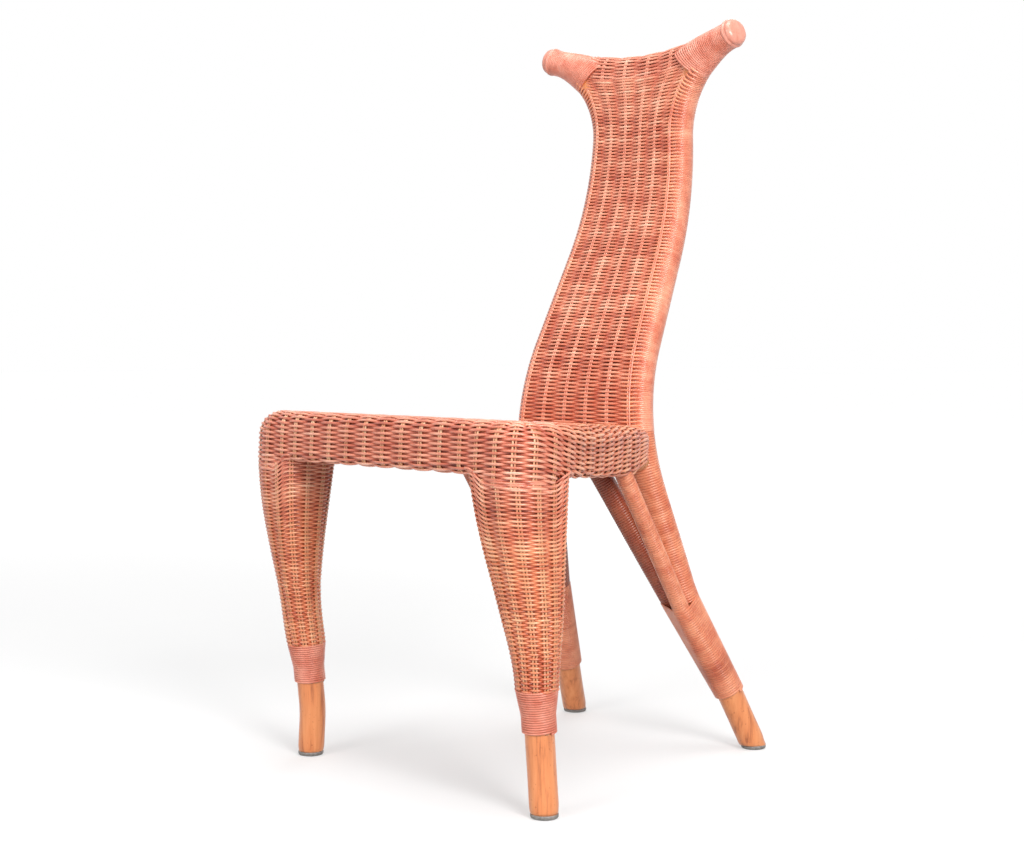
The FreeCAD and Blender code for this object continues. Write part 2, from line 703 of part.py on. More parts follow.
rail_weave_radius = top_rail_radius + gap + size("rail_weave")
horn_room = horn_sleeve(gap)
horn_rooms = [horn_room, mirrored(horn_room)]
pair("horn_binding", horn_sleeve(0).cut([post_room[0], crescent(top_rail_radius + gap)]))
for side, hand in SIDES:
    radius = size("horn_cap_diameter") / 2
    length = size("horn_cap_length")
    foot = -size("dowel_length")
    corners = [(0, foot), (dowel_radius, foot), (dowel_radius, 0), (radius, 0), (radius, length * 0.35)]
    for step in range(1, 6):
        angle = step * math.pi / 12
        corners.append((radius * math.cos(angle), length * (0.35 + 0.65 * math.sin(angle))))
    corners.append((0, length))
    seat_point = Vector(hand * post_end.x, post_end.y, post_end.z)
    way = Vector(hand * cap_way.x, cap_way.y, cap_way.z)
    label = "horn_end_cap_" + side
    finish(label, turned(label, corners, FreeCAD.Placement(seat_point, FreeCAD.Rotation(UP, way))))

# Back weave: strands wound on the posts, rolled over the top rail, and the two walls between them
over_seat = seat_layer(gap, BIG)
post_weave = post_wrap.common(over_seat).cut([horn_room, crescent(top_rail_radius + gap)])
post_weave = max(post_weave.Solids, key=lambda solid: solid.Volume)
pair("back_post_weave", post_weave)
weave_rooms = [wrap_room, mirrored(wrap_room)]
roll = crescent(rail_weave_radius).cut([crescent(top_rail_radius + gap)] + weave_rooms + horn_rooms)
roll = max(roll.Solids, key=lambda solid: solid.Volume)
piece("top_rail_weave", roll)


weave_face = wrap_radius - 3 * gap


def wall_section(side, half_width, low, high):
    """An upright strip across the front or the rear of the posts, between two distances from their axes."""
    def section(point, along):
        half = Vector(half_width, 0, 0)
        level = Vector(1, 0, 0).cross(along).normalize() * side
        corners = [point - half + level * low, point + half + level * low,
                   point + half + level * high, point - half + level * high]
        return Part.Face(Part.makePolygon(corners + corners[:1]))
    return section


edge = [Vector(point.x, -BIG, point.z) for point in post_line.discretize(Distance=pole_radius / 2)
        if point.z > post_shin.z]
edge += [Vector(-point.x, point.y, point.z) for point in reversed(edge)]
between_posts = Part.Face(Part.makePolygon(edge + edge[:1])).extrude(Vector(0, 2 * BIG, 0))
flat_points = [Vector(0, point.y, point.z) for point in post_points[2:5]]
flat_points.append(spot(0, size("post_crown_back"), size("horn_height") - size("top_rail_drop")))
wall_inside = weave_face - size("panel_thickness")
stake_proud = weave_face + size("stake_rib")
last_stake = int(size("back_stakes")) - 1
stake_shares = [2 * number / last_stake - 1 for number in range(1, last_stake)]
stake_top = flat_points[-1] - Vector(0, 0, 2 * rail_weave_radius)
for label, side in (("front", 1), ("rear", -1)):
    strip = wall_section(side, size("horn_half_spread"), wall_inside, weave_face)
    slab = swept(flat_points, post_radii[2:4], strip)
    for share in stake_shares:
        stake_line = [Vector(share * point.x, point.y, point.z) for point in post_points[2:5]]
        stake_line.append(Vector(share * post_points[5].x, stake_top.y, stake_top.z))
        stake = wall_section(side, size("stake_width") / 2, weave_face - 2 * gap, stake_proud)
        slab = slab.fuse(swept(stake_line, post_radii[2:4], stake))
    slab = slab.common(over_seat).common(between_posts)
    wall = slab.cut(weave_rooms + horn_rooms + [crescent(rail_weave_radius + gap)])
    wall = max(wall.Solids, key=lambda solid: solid.Volume)
    piece("back_weave_" + label, wall)


# Woven seat, hollow beneath, rolled round its rails
def seat_outline(wall):
    """Corners of the seat in plan, drawn in by the wall, with the rounding of each."""
    half = size("seat_half_width")
    rear_half = size("seat_rear_half_width")
    flank = size("seat_flank")
    lean = math.atan2(half - rear_half, seat_depth - flank)
    knee = flank - wall * math.tan(lean / 2)
    rear = seat_depth - wall
    rear_x = half - wall / math.cos(lean) - (rear - flank) * math.tan(lean)
    right = [(half - wall, wall), (half - wall, knee), (rear_x, rear)]
    left = [(-x, y) for x, y in reversed(right)]
    return right + left


def seat_block(label, wall, low, high):
    body = doc.addObject("PartDesign::Body", label)
    sketch = sketch_on(body, "XY_Plane", label + "_outline")
    closed_outline(sketch, seat_outline(wall))
    pad = body.newObject("PartDesign::Pad", label + "_pad")
    pad.Profile = sketch
    pad.Length = high - low
    body.Placement = seat_place.multiply(FreeCAD.Placement(Vector(0, 0, low), FreeCAD.Rotation()))
    doc.recompute()
    corner_radii = [size("seat_corner_radius"), size("seat_flank_radius"), size("seat_rear_radius")]
    for number, radius in enumerate(corner_radii):
        names = []
        corner = seat_outline(wall)[number]
        for index, edge in enumerate(body.Tip.Shape.Edges, start=1):
            first, last = [vertex.Point for vertex in edge.Vertexes]
            upright = abs(first.x - last.x) + abs(first.y - last.y) < gap
            if upright and abs(abs(first.x) - corner[0]) + abs(first.y - corner[1]) < gap:
                names.append("Edge%d" % index)
        before = body.Tip
        rounding = body.newObject("PartDesign::Fillet", "%s_corner_%d" % (label, number))
        rounding.Base = (before, names)
        rounding.Radius = radius - wall
        body.Tip = rounding
        doc.recompute()
    top_edges = []
    for index, edge in enumerate(body.Tip.Shape.Edges, start=1):
        if min(vertex.Z for vertex in edge.Vertexes) > high - low - gap:
            top_edges.append("Edge%d" % index)
    before = body.Tip
    roll = body.newObject("PartDesign::Fillet", label + "_roll")
    roll.Base = (before, top_edges)
    roll.Radius = inset - wall
    body.Tip = roll
    doc.recompute()
    return body


rib = size("stake_rib")
outer = seat_block("seat_weave_outside", rib, -size("seat_thickness"), -rib)
hollow = seat_block("seat_weave_inside", size("weave_wall"), -size("seat_thickness") - inset,
                    -size("weave_wall"))
shell = doc.addObject("Part::Cut", "seat_weave_shell")
shell.Base = outer
shell.Tool = hollow

# Pairs of stakes that stand out of the seat weave, upright round its edge and from front to back on top
edge_corners = seat_outline(0)
edge_corners = [(0, seat_depth)] + edge_corners[2::-1] + edge_corners[:2:-1] + [(0, seat_depth)]
edge_radii = [size("seat_rear_radius"), size("seat_flank_radius"), size("seat_corner_radius")]
rib_low = -size("seat_thickness") + rib
edge_line = centre_line([on_seat(x, y, rib_low) for x, y in edge_corners], edge_radii + edge_radii[::-1])
stake_count = 2 * round(edge_line.Length / size("stake_pitch") / 2)
edge_spots = edge_line.discretize(Number=2 * stake_count + 1)
seat_up = seat_place.Rotation.multVec(UP)
sunk = rib + 2 * gap
rib_width = size("stake_width")
ribs = []
for before, here, after in zip(edge_spots[::2], edge_spots[1::2], edge_spots[2::2]):
    way = (after - before).normalize()
    outward = seat_up.cross(way)
    upright_rib = Part.makeBox(rib_width, sunk, -inset - rib_low)
    corner = here - way * (rib_width / 2) - outward * sunk
    upright_rib.Placement = FreeCAD.Placement(corner, FreeCAD.Rotation(way, outward, seat_up, "ZXY"))
    ribs.append(upright_rib)
stake_step = edge_line.Length / stake_count
side_slope = (size("seat_half_width") - size("seat_rear_half_width")) / (seat_depth - size("seat_flank"))
for number in range(-stake_count, stake_count):
    across = (number + 0.5) * stake_step
    room = size("seat_half_width") - 1.5 * inset - abs(across)
    if room > 0:
        back = min(seat_depth - 1.5 * inset, size("seat_flank") + room / side_slope)
        top_rib = Part.makeBox(rib_width, back - 1.5 * inset, sunk)
        corner = Vector(across - rib_width / 2, 1.5 * inset, -sunk)
        top_rib.Placement = seat_place.multiply(FreeCAD.Placement(corner, FreeCAD.Rotation()))
        ribs.append(top_rib)
stake_ribs = doc.addObject("Part::Feature", "seat_weave_stakes")
stake_ribs.Shape = Part.makeCompound(ribs)
ribbed = doc.addObject("Part::Fuse", "seat_weave_ribbed")
ribbed.Base = shell
ribbed.Tool = stake_ribs
notches = doc.addObject("Part::Feature", "seat_weave_notches")
right_notches = [post_room[0]] + list(side_rail_rooms.values()) + screw_set(rear_screws, gap)
right_notches += [brace_rod(name, brace_radii[name] + gap, 0) for name in brace_lines]
right_notch = right_notches[0].multiFuse(right_notches[1:])
notches.Shape = right_notch.fuse(mirrored(right_notch))
seat_weave = doc.addObject("Part::Cut", "seat_weave")
seat_weave.Base = ribbed
seat_weave.Tool = notches
finish("seat_weave", seat_weave)


# Woven sleeves and wound ankles of the front legs
ankle_way = (front_calf - front_shin).normalize()


def shin_point(height):
    return front_shin + ankle_way * ((height - front_shin.z) / ankle_way.z)


seat_underside = size("seat_height") - size("seat_thickness")
sleeve_top_half = size("sleeve_top_half")
sleeve_top = Vector(size("seat_half_width") - sleeve_top_half, seat_front - middle + sleeve_top_half,
                    seat_underside + rail_radius)
sleeve_calf = spot(size("seat_half_width") - size("sleeve_calf_inset"), -size("sleeve_calf_forward"),
                   size("sleeve_calf_height"))
sleeve_thigh = spot(size("seat_half_width") - size("sleeve_thigh_inset"), -size("sleeve_thigh_forward"),
                    size("sleeve_thigh_height"))
SLEEVE = ((shin_point(size("ankle_high") - size("weave_wall")), size("sleeve_ankle_half")),
          (sleeve_calf, size("sleeve_calf_half")),
          (sleeve_thigh, size("sleeve_thigh_half")),
          (sleeve_top, sleeve_top_half))


def square_wire(centre, half, tight, wide):
    """A level square whose opposite corners are rounded alike, tight and wide by turns."""
    edges = []
    for quarter in range(4):
        turn = FreeCAD.Rotation(UP, 90 * quarter)
        onward = FreeCAD.Rotation(UP, 90 * (quarter + 1))
        radius, after_radius = (tight, wide) if quarter % 2 == 0 else (wide, tight)
        flat = half - radius
        hub = centre + turn.multVec(Vector(flat, flat, 0))
        begin = centre + turn.multVec(Vector(half, flat, 0))
        crest = hub + turn.multVec(Vector(1, 1, 0).normalize() * radius)
        end = centre + turn.multVec(Vector(flat, half, 0))
        after = centre + onward.multVec(Vector(half, half - after_radius, 0))
        edges.append(Part.Arc(begin, crest, end).toShape())
        edges.append(Part.makeLine(end, after))
    return Part.Wire(edges)


def sleeve_loft(wall):
    wires = []
    for number, (centre, half) in enumerate(SLEEVE):
        most = half * 0.94
        tight = most if number == 0 else min(size("sleeve_corner_radius"), most)
        wide = most if number == 0 else min(size("sleeve_round_radius"), most)
        wires.append(square_wire(centre, half - wall, tight - wall, wide - wall))
    return Part.makeLoft(wires, True, False)


above_ankle = Part.makeCylinder(BIG, BIG, shin_point(size("ankle_high")) + ankle_way * gap, ankle_way)
sleeve_rooms = [sleeve_loft(size("weave_wall")), front_rod(pole_radius + gap)]
sleeve = sleeve_loft(0).common(under_seat).common(above_ankle).cut(sleeve_rooms)
pair("front_leg_weave", sleeve)

# Ends of the stakes, gathered on the pole, and the reed wound over them
ankle_bore = pole_radius + gap
ankle_height = (size("ankle_high") - size("ankle_low")) / ankle_way.z
ankle_straight = 0.4
for side, hand in SIDES:
    low = ankle_bore + size("ankle_stakes")
    high = ankle_bore + size("ankle_flare")
    corners = [(ankle_bore, 0), (low, 0), (low, ankle_height * ankle_straight), (high, ankle_height),
               (ankle_bore, ankle_height)]
    base = shin_point(size("ankle_low"))
    label = "front_ankle_stakes_" + side
    place = FreeCAD.Placement(Vector(hand * base.x, base.y, base.z),
                              FreeCAD.Rotation(UP, Vector(hand * ankle_way.x, ankle_way.y, ankle_way.z)))
    finish(label, turned(label, corners, place))


def stake_radius(share):
    """Outside of the gathered stakes at a share of the binding's height."""
    rise = max(0, (share - ankle_straight) / (1 - ankle_straight))
    return ankle_bore + size("ankle_stakes") + (size("ankle_flare") - size("ankle_stakes")) * rise


def reed_point(turns):
    """Centre of the reed after some turns, in the binding's own frame."""
    reed = size("ankle_reed") / 2
    share = turns / size("ankle_turns")
    angle = 2 * math.pi * turns
    radius = stake_radius(share) + gap + reed
    height = reed + (ankle_height - 2 * reed) * share
    return Vector(radius * math.cos(angle), radius * math.sin(angle), height)


def reed_way(turns):
    step = 0.01
    return (reed_point(turns + step) - reed_point(turns - step)).normalize()


def tangent_arc(start, corner, stop):
    """The arc that touches start-corner and corner-stop at its two ends."""
    chord = (start + stop) * 0.5
    half = (stop - start).Length / 2
    lean = math.acos(half / (corner - start).Length)
    crest = chord + (corner - chord).normalize() * (half * math.tan(lean / 2))
    return Part.Arc(start, crest, stop).toShape()


def two_arcs(start, start_way, stop, stop_way):
    """Two arcs that join smoothly and leave and arrive in the given ways."""
    run = stop - start
    ways = start_way + stop_way
    spread = 2 * (1 - start_way.dot(stop_way))
    reach = (math.sqrt(run.dot(ways) ** 2 + spread * run.dot(run)) - run.dot(ways)) / spread
    first = start + start_way * reach
    second = stop - stop_way * reach
    join = (first + second) * 0.5
    return [tangent_arc(start, first, join), tangent_arc(join, second, stop)]


steps = int(4 * size("ankle_turns"))
marks = [step / 4 for step in range(steps + 1)]
reed_edges = [Part.makeLine(reed_point(0) - reed_way(0) * size("ankle_reed"), reed_point(0))]
for mark, after in zip(marks, marks[1:]):
    reed_edges += two_arcs(reed_point(mark), reed_way(mark), reed_point(after), reed_way(after))
last = reed_point(marks[-1])
reed_edges.append(Part.makeLine(last, last + reed_way(marks[-1]) * size("ankle_reed")))
reed_line = Part.Wire(reed_edges)
reed_end = Part.makeCircle(size("ankle_reed") / 2, reed_edges[0].Vertexes[0].Point, reed_way(0))
reed = reed_line.makePipeShell([Part.Wire([reed_end])], True, False)
reed.Placement = FreeCAD.Placement(shin_point(size("ankle_low")), FreeCAD.Rotation(UP, ankle_way))
expected = reed_line.Length * math.pi * (size("ankle_reed") / 2) ** 2
least = min((reed_point(mark + 1) - reed_point(mark)).Length for mark in marks[:-4]) - size("ankle_reed")
print("reed gap", round(least, 2), "volume", round(reed.Volume / expected, 3))
pair("front_ankle_binding", reed)

# Every feature has to be sound before anything is written
doc.recompute()
for feature in doc.Objects:
    if "Invalid" in feature.State or "Error" in feature.State:
        raise RuntimeError("failed: " + feature.Label)
for feature in pieces:
    if feature.Shape.isNull() or not feature.Shape.isValid():
        raise RuntimeError("unsound: " + feature.Label)

os.makedirs("parts", exist_ok=True)
for feature in pieces:
    feature.Shape.exportStep("parts/%s.step" % feature.Label)
box = Part.makeCompound([feature.Shape for feature in pieces]).optimalBoundingBox(False, False)
print("pieces", len(pieces), "box", [round(value, 2) for value in (
    box.XMin, box.YMin, box.ZMin, box.XMax, box.YMax, box.ZMax)])
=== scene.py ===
import json
import math

import bpy
import numpy as np
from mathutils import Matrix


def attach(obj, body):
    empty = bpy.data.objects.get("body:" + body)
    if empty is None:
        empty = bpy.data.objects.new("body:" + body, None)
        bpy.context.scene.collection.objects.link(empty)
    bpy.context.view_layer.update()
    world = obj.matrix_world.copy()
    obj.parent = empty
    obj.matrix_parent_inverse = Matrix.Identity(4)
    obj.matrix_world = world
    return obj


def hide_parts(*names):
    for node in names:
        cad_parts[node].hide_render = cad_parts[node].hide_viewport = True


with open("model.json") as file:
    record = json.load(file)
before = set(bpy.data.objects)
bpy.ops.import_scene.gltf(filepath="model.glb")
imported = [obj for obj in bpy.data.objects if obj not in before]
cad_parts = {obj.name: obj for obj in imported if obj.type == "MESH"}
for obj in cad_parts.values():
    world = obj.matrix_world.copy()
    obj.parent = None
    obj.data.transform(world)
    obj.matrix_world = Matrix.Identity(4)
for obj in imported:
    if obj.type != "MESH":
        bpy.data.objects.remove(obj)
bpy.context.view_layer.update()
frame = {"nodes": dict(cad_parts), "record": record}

rng = np.random.default_rng(19)

# Sizes in millimetres, with y measured from the line of the front feet
PER_METRE = 1000.0
FRONT_FEET = 195.2993
POLE = 17.0
STRAND = 1.2
STAKE, STAKE_APART = 1.35, 1.75
SEAT_FRONT, SEAT_TOP, SEAT_TILT = -72.4, 457.0, math.radians(3.5)
SEAT_DEPTH, SEAT_HALF, SEAT_REAR_HALF, SEAT_FLANK = 360.2, 252.0, 128.0, 81.0
SEAT_THICK = 62.0
RAIL_BACK, RAIL_HEIGHT, RAIL_BEND = 411.5, 917.0, 454.0
POST = [(166.5, 450, 0), (150, 416.5, 78), (127.5, 350, 205), (95.5, 275, 447),
        (71.5, 402, 728.5), (60, 411.5, 911), (162, 399.7, 943)]
POST_BENDS = [300, 300, 265, 430, 120]
FRONT_POLE = [(217.5, 0, 0), (212.5, 0, 60), (214.5, -14, 200), (204.4, -28.6, 450)]
FRONT_BENDS = [220, 220]
# Each brace: its upper end, its lower end and its radius
BRACES = {"side": (np.array([145.02, 202.0, 394.13]), np.array([139.7, 340.9, 178.0]), 9.0),
          "inner": (np.array([39.0, 266.05, 390.21]), np.array([110.9, 363.4, 178.0]), 12.0)}
CUFF_LOW, CUFF_HIGH = 79.0, 207.0
# Pieces of the left are those of the right, mirrored
HANDS = (("right", False), ("left", True))
UP = np.array([0, 0, 1.0])
ACROSS = np.array([1.0, 0, 0])


# Working with points and lines
def unit(v):
    return v / np.maximum(np.linalg.norm(v, axis=-1, keepdims=True), 1e-9)


def run_along(points):
    """How far along its line each point lies."""
    return np.concatenate([[0], np.cumsum(np.linalg.norm(np.diff(points, axis=0), axis=1))])


def even(points, step=None, count=None, closed=False):
    """The same line with its points spaced evenly."""
    points = np.asarray(points, float)
    if closed:
        points = np.vstack([points, points[:1]])
    run = run_along(points)
    if count is None:
        count = int(round(run[-1] / step)) + 1
    return along(points, np.linspace(0, run[-1], count, endpoint=not closed), run)


def bent_line(points, bends, step=1.0):
    """Straight runs joined by tangent arcs."""
    points = [np.array(p, float) for p in points]
    line = [points[0]]
    for before, corner, after, radius in zip(points, points[1:], points[2:], bends):
        ahead, onward = unit(corner - before), unit(after - corner)
        turn = math.acos(float(np.clip(ahead @ onward, -1, 1)))
        if turn < 1e-4:
            continue
        inward = unit(onward - ahead * float(ahead @ onward))
        begin = corner - ahead * radius * math.tan(turn / 2)
        for angle in np.linspace(0, turn, max(3, int(radius * turn / step))):
            line.append(begin + ahead * radius * math.sin(angle) + inward * radius * (1 - math.cos(angle)))
    line.append(points[-1])
    return even(line, step=step)


def ways(line):
    return unit(np.gradient(line, axis=0))


def square_to(way, near):
    """Two directions square to a way, the first one also square to near."""
    aside = unit(np.cross(near, way))
    return aside, np.cross(way, aside)


def around(angle, first, second):
    """Directions turned by an angle from the first towards the second."""
    return np.cos(angle)[..., None] * first + np.sin(angle)[..., None] * second


def along(line, marks, run=None):
    """Points at marks along a line, which count its points if no run is given."""
    run = np.arange(len(line)) if run is None else run
    return np.stack([np.interp(marks, run, line[:, k]) for k in range(line.shape[1])], axis=-1)


def soft_step(x, start=0.0, over=1.0):
    """Nought up to the start, then a smooth rise to one."""
    x = np.clip((x - start) / over, 0, 1)
    return x * x * (3 - 2 * x)


def weave_wave(places, parity):
    """Over and under: +1 in front of every second stake, -1 behind the others."""
    steep = 1.1
    swing = np.tanh(steep * np.cos(np.pi * places)) / np.tanh(steep)
    return swing * np.where(np.asarray(parity) % 2 == 0, 1.0, -1.0)[..., None]


def uneven(size, rows):
    """A size that differs a little from row to row."""
    return size * rng.uniform(0.94, 1.06, (rows, 1))


# Meshes
FACETS = 6


def strands(paths, outs, radius, tints, closed=False, flat=1.0):
    """Many strands with the same number of points, each a tube of six sides.

    The radius is measured along outs, and flat scales the tube in the other direction."""
    paths = np.asarray(paths, float)
    rows, count = paths.shape[:2]
    outs = np.broadcast_to(np.asarray(outs, float), paths.shape)
    if closed:
        way = np.roll(paths, -1, axis=1) - np.roll(paths, 1, axis=1)
    else:
        way = np.gradient(paths, axis=1)
    way = unit(way)
    across = unit(outs - way * np.sum(outs * way, axis=-1, keepdims=True))
    side = np.cross(way, across)
    size = np.broadcast_to(np.asarray(radius, float), (rows, count))[..., None, None]
    angle = 2 * np.pi * np.arange(FACETS) / FACETS
    points = paths[:, :, None] + size * around(angle, across[:, :, None], flat * side[:, :, None])
    row = np.arange(rows)[:, None, None] * count
    here = np.arange(count if closed else count - 1)[None, :, None]
    there = (here + 1) % count
    turn = np.arange(FACETS)[None, None, :]
    after = (turn + 1) % FACETS
    quads = np.stack([(row + here) * FACETS + turn, (row + there) * FACETS + turn,
                      (row + there) * FACETS + after, (row + here) * FACETS + after], axis=-1).reshape(-1, 4)
    if not closed:
        first = (np.arange(rows) * count * FACETS)[:, None]
        last = first + (count - 1) * FACETS
        ends = [first + np.array([0, 1, 2, 3]), first + np.array([3, 4, 5, 0]),
                last + np.array([3, 2, 1, 0]), last + np.array([0, 5, 4, 3])]
        quads = np.vstack([quads] + ends)
    tints = np.asarray(tints, float)
    if tints.ndim == 1:
        tints = tints[:, None]
    tints = np.clip(np.broadcast_to(tints, (rows, count)), 0, 1)
    return points.reshape(-1, 3), quads, np.repeat(tints.reshape(-1), FACETS)


def rings_mesh(rings):
    """A surface through rings of points, with an even tint."""
    rows, count = rings.shape[:2]
    here = np.arange(rows - 1)[:, None] * count
    turn = np.arange(count)[None]
    after = (turn + 1) % count
    quads = np.stack([here + turn, here + after, here + count + after, here + count + turn], axis=-1)
    return rings.reshape(-1, 3), quads.reshape(-1, 4), np.full(rows * count, 0.5)


def row_tints(rows, count, splice, length):
    """Each row keeps the tint of the weaver that makes it, and changes where another is spliced in."""
    def next_weaver():
        return np.clip(rng.normal(0.5, 0.08), 0, 1)

    tints = np.empty((rows, count))
    places = np.linspace(0, length, count)
    value = next_weaver()
    left = rng.uniform(0.2, 1) * splice
    for row in range(rows):
        start = 0.0
        tints[row] = value
        while start + left <= length:
            start += left
            value = next_weaver()
            left = rng.uniform(0.5, 1.6) * splice
            tints[row, places >= start] = value
        left -= length - start
        tints[row] += rng.normal(0, 0.096)
    return np.clip(tints, 0, 1)


def turn_tints(count, per_turn):
    """The tint drifts from turn to turn and jumps where a new length of cane begins."""
    turns_per_length = 9
    turns = count // per_turn + 2
    steps = np.repeat(rng.normal(0.52, 0.05, turns // turns_per_length + 2), turns_per_length)[:turns]
    steps = steps + rng.normal(0, 0.07, turns)
    return np.clip(np.interp(np.arange(count) / per_turn, np.arange(turns), steps), 0, 1)[None]


def mesh_piece(name, groups, look, nodes=(), mirror=False, warm=None):
    """One object from groups of points, faces and tints, set in the chair's frame in metres.

    look is a material and its slot, and warm(points) tells where the stain is more orange."""
    material, slot = look
    starts = np.cumsum([0] + [len(group[0]) for group in groups])
    points = np.vstack([group[0] for group in groups])
    quads = np.vstack([group[1] + start for group, start in zip(groups, starts)])
    tints = np.concatenate([group[2] for group in groups])
    orange = warm(points) if warm else np.zeros(len(points))
    points = points - np.array([0, FRONT_FEET, 0])
    if mirror:
        points = points * np.array([-1, 1, 1])
        quads = quads[:, ::-1]
    mesh = bpy.data.meshes.new(name)
    mesh.vertices.add(len(points))
    mesh.vertices.foreach_set("co", (points / PER_METRE).ravel())
    mesh.loops.add(quads.size)
    mesh.loops.foreach_set("vertex_index", quads.ravel().astype(np.int32))
    mesh.polygons.add(len(quads))
    mesh.polygons.foreach_set("loop_start", np.arange(0, quads.size, 4, dtype=np.int32))
    mesh.polygons.foreach_set("use_smooth", np.ones(len(quads), bool))
    mesh.update(calc_edges=True)
    mesh.validate()
    for key, values in (("tint", tints), ("warm", orange)):
        layer = mesh.attributes.new(key, "FLOAT", "POINT")
        layer.data.foreach_set("value", values.astype(np.float32))
    mesh.materials.append(material)
    piece = bpy.data.objects.new(name, mesh)
    bpy.context.scene.collection.objects.link(piece)
    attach(piece, "root")
    for node in nodes:
        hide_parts(node)


def helix(line, reach, pitch, per_turn):
    """A strand wound closely round a line. reach is its distance, or a function of the share of the line."""
    turns = run_along(line)[-1] / pitch
    share = np.linspace(0, 1, int(turns * per_turn))
    marks = share * (len(line) - 1)
    centre, way = along(line, marks), along(ways(line), marks)
    aside, ahead = square_to(way, (0, 1, 0.05))
    angle = 2 * np.pi * share * turns
    reach = np.broadcast_to(reach(share) if callable(reach) else reach, share.shape)[:, None]
    return (centre + reach * around(angle, aside, ahead))[None], way[None]


# Materials
def linear(code):
    """A colour as written in sRGB hex, in the linear values that shaders use."""
    parts = [int(code[k:k + 2], 16) / 255 for k in (1, 3, 5)]
    return [p / 12.92 if p <= 0.04045 else ((p + 0.055) / 1.055) ** 2.4 for p in parts] + [1.0]


def add(tree, kind, links=(), values=(), **settings):
    """A node with its settings, its constant values and the sockets that feed it."""
    node = tree.nodes.new(kind)
    for key, value in settings.items():
        setattr(node, key, value)
    for key, value in dict(values).items():
        node.inputs[key].default_value = value
    for key, socket in dict(links).items():
        tree.links.new(socket, node.inputs[key])
    return node


def new_material(name):
    """An empty material, its tree, and the place on the piece that its patterns follow."""
    made = bpy.data.materials.new(name)
    made.use_nodes = True
    tree = made.node_tree
    tree.nodes.clear()
    return made, tree, add(tree, "ShaderNodeTexCoord").outputs["Object"]


def noise(tree, place, size, detail, rough):
    """Cloudy noise with patches of a real size in millimetres."""
    return add(tree, "ShaderNodeTexNoise", {"Vector": place},
               {"Scale": PER_METRE / size, "Detail": detail, "Roughness": rough}).outputs["Fac"]


def mapped(tree, value, low, high, to_low, to_high, **settings):
    """A value carried over from one range to another."""
    return add(tree, "ShaderNodeMapRange", {"Value": value},
               {"From Min": low, "From Max": high, "To Min": to_low, "To Max": to_high},
               **settings).outputs["Result"]


def ramp(tree, value, stops):
    """Colours at their places along a value."""
    node = add(tree, "ShaderNodeValToRGB", {"Fac": value})
    elements = node.color_ramp.elements
    while len(elements) > 1:
        elements.remove(elements[-1])
    elements[0].position = stops[0][0]
    elements[0].color = linear(stops[0][1])
    for place, code in stops[1:]:
        elements.new(place).color = linear(code)
    return node.outputs["Color"]


def stained(tree, share, base, code):
    """A colour multiplied by another, as far as the share says."""
    return add(tree, "ShaderNodeMix", {"Factor": share, "A": base}, {"B": linear(code)},
               data_type="RGBA", blend_type="MULTIPLY").outputs["Result"]


def surface(tree, links, values):
    """The shader that a material ends in."""
    shader = add(tree, "ShaderNodeBsdfPrincipled", links, values).outputs["BSDF"]
    add(tree, "ShaderNodeOutputMaterial", {"Surface": shader})


def cane(name, stops, stain, stain_mm, rough, lacquer, warm_stops=None):
    """Split or round cane: a tint for each strand, stain that pools along it, fine fibre under lacquer."""
    made, tree, place = new_material(name)
    tint = add(tree, "ShaderNodeAttribute", attribute_name="tint").outputs["Fac"]
    base = ramp(tree, tint, stops)
    if warm_stops:
        orange = ramp(tree, tint, warm_stops)
        warm = add(tree, "ShaderNodeAttribute", attribute_name="warm").outputs["Fac"]
        base = add(tree, "ShaderNodeMix", {"Factor": warm, "A": base, "B": orange},
                   data_type="RGBA").outputs["Result"]
    depth = mapped(tree, noise(tree, place, stain_mm, 4.0, 0.6), 0.36, 0.66, 0.0, 0.75)
    fibre = noise(tree, place, 0.9, 3.0, 0.65)
    dull = mapped(tree, fibre, 0.3, 0.7, rough - 0.08, rough + 0.1)
    bump = add(tree, "ShaderNodeBump", {"Height": fibre}, {"Strength": 0.12, "Distance": 0.0004})
    surface(tree, {"Base Color": stained(tree, depth, base, stain), "Roughness": dull,
                   "Normal": bump.outputs["Normal"]}, {"Coat Weight": lacquer, "Coat Roughness": 0.28})
    return made


def pole_wood(name, light, dark, streak, streak_mm, rough):
    """Peeled rattan pole: long pale and dark streaks, a few specks and a satin lacquer."""
    made, tree, place = new_material(name)
    drawn_out = add(tree, "ShaderNodeMapping", {"Vector": place}, {"Scale": (1.0, 1.0, 0.07)})
    lines = noise(tree, drawn_out.outputs["Vector"], streak_mm, 5.0, 0.6)
    base = ramp(tree, mapped(tree, lines, 0.32, 0.7, 0.0, 1.0), [(0.0, light), (0.55, dark), (1.0, streak)])
    dots = noise(tree, place, 3.5, 2.0, 0.5)
    speck = mapped(tree, dots, 0.66, 0.76, 0.0, 0.5)
    dull = mapped(tree, dots, 0.3, 0.7, rough - 0.05, rough + 0.08)
    bump = add(tree, "ShaderNodeBump", {"Height": lines}, {"Strength": 0.1, "Distance": 0.0006})
    surface(tree, {"Base Color": stained(tree, speck, base, streak), "Roughness": dull,
                   "Normal": bump.outputs["Normal"]}, {"Coat Weight": 0.25, "Coat Roughness": 0.22})
    return made


def moulded(name, light, dark, rough, metal):
    """A small moulded or turned part: mottled tone and scuffs that change its shine."""
    made, tree, place = new_material(name)
    scuff = noise(tree, place, 4.0, 4.0, 0.6)
    surface(tree, {"Base Color": ramp(tree, scuff, [(0.35, dark), (0.65, light)]),
                   "Roughness": mapped(tree, scuff, 0.3, 0.7, rough, rough + 0.15)}, {"Metallic": metal})
    return made


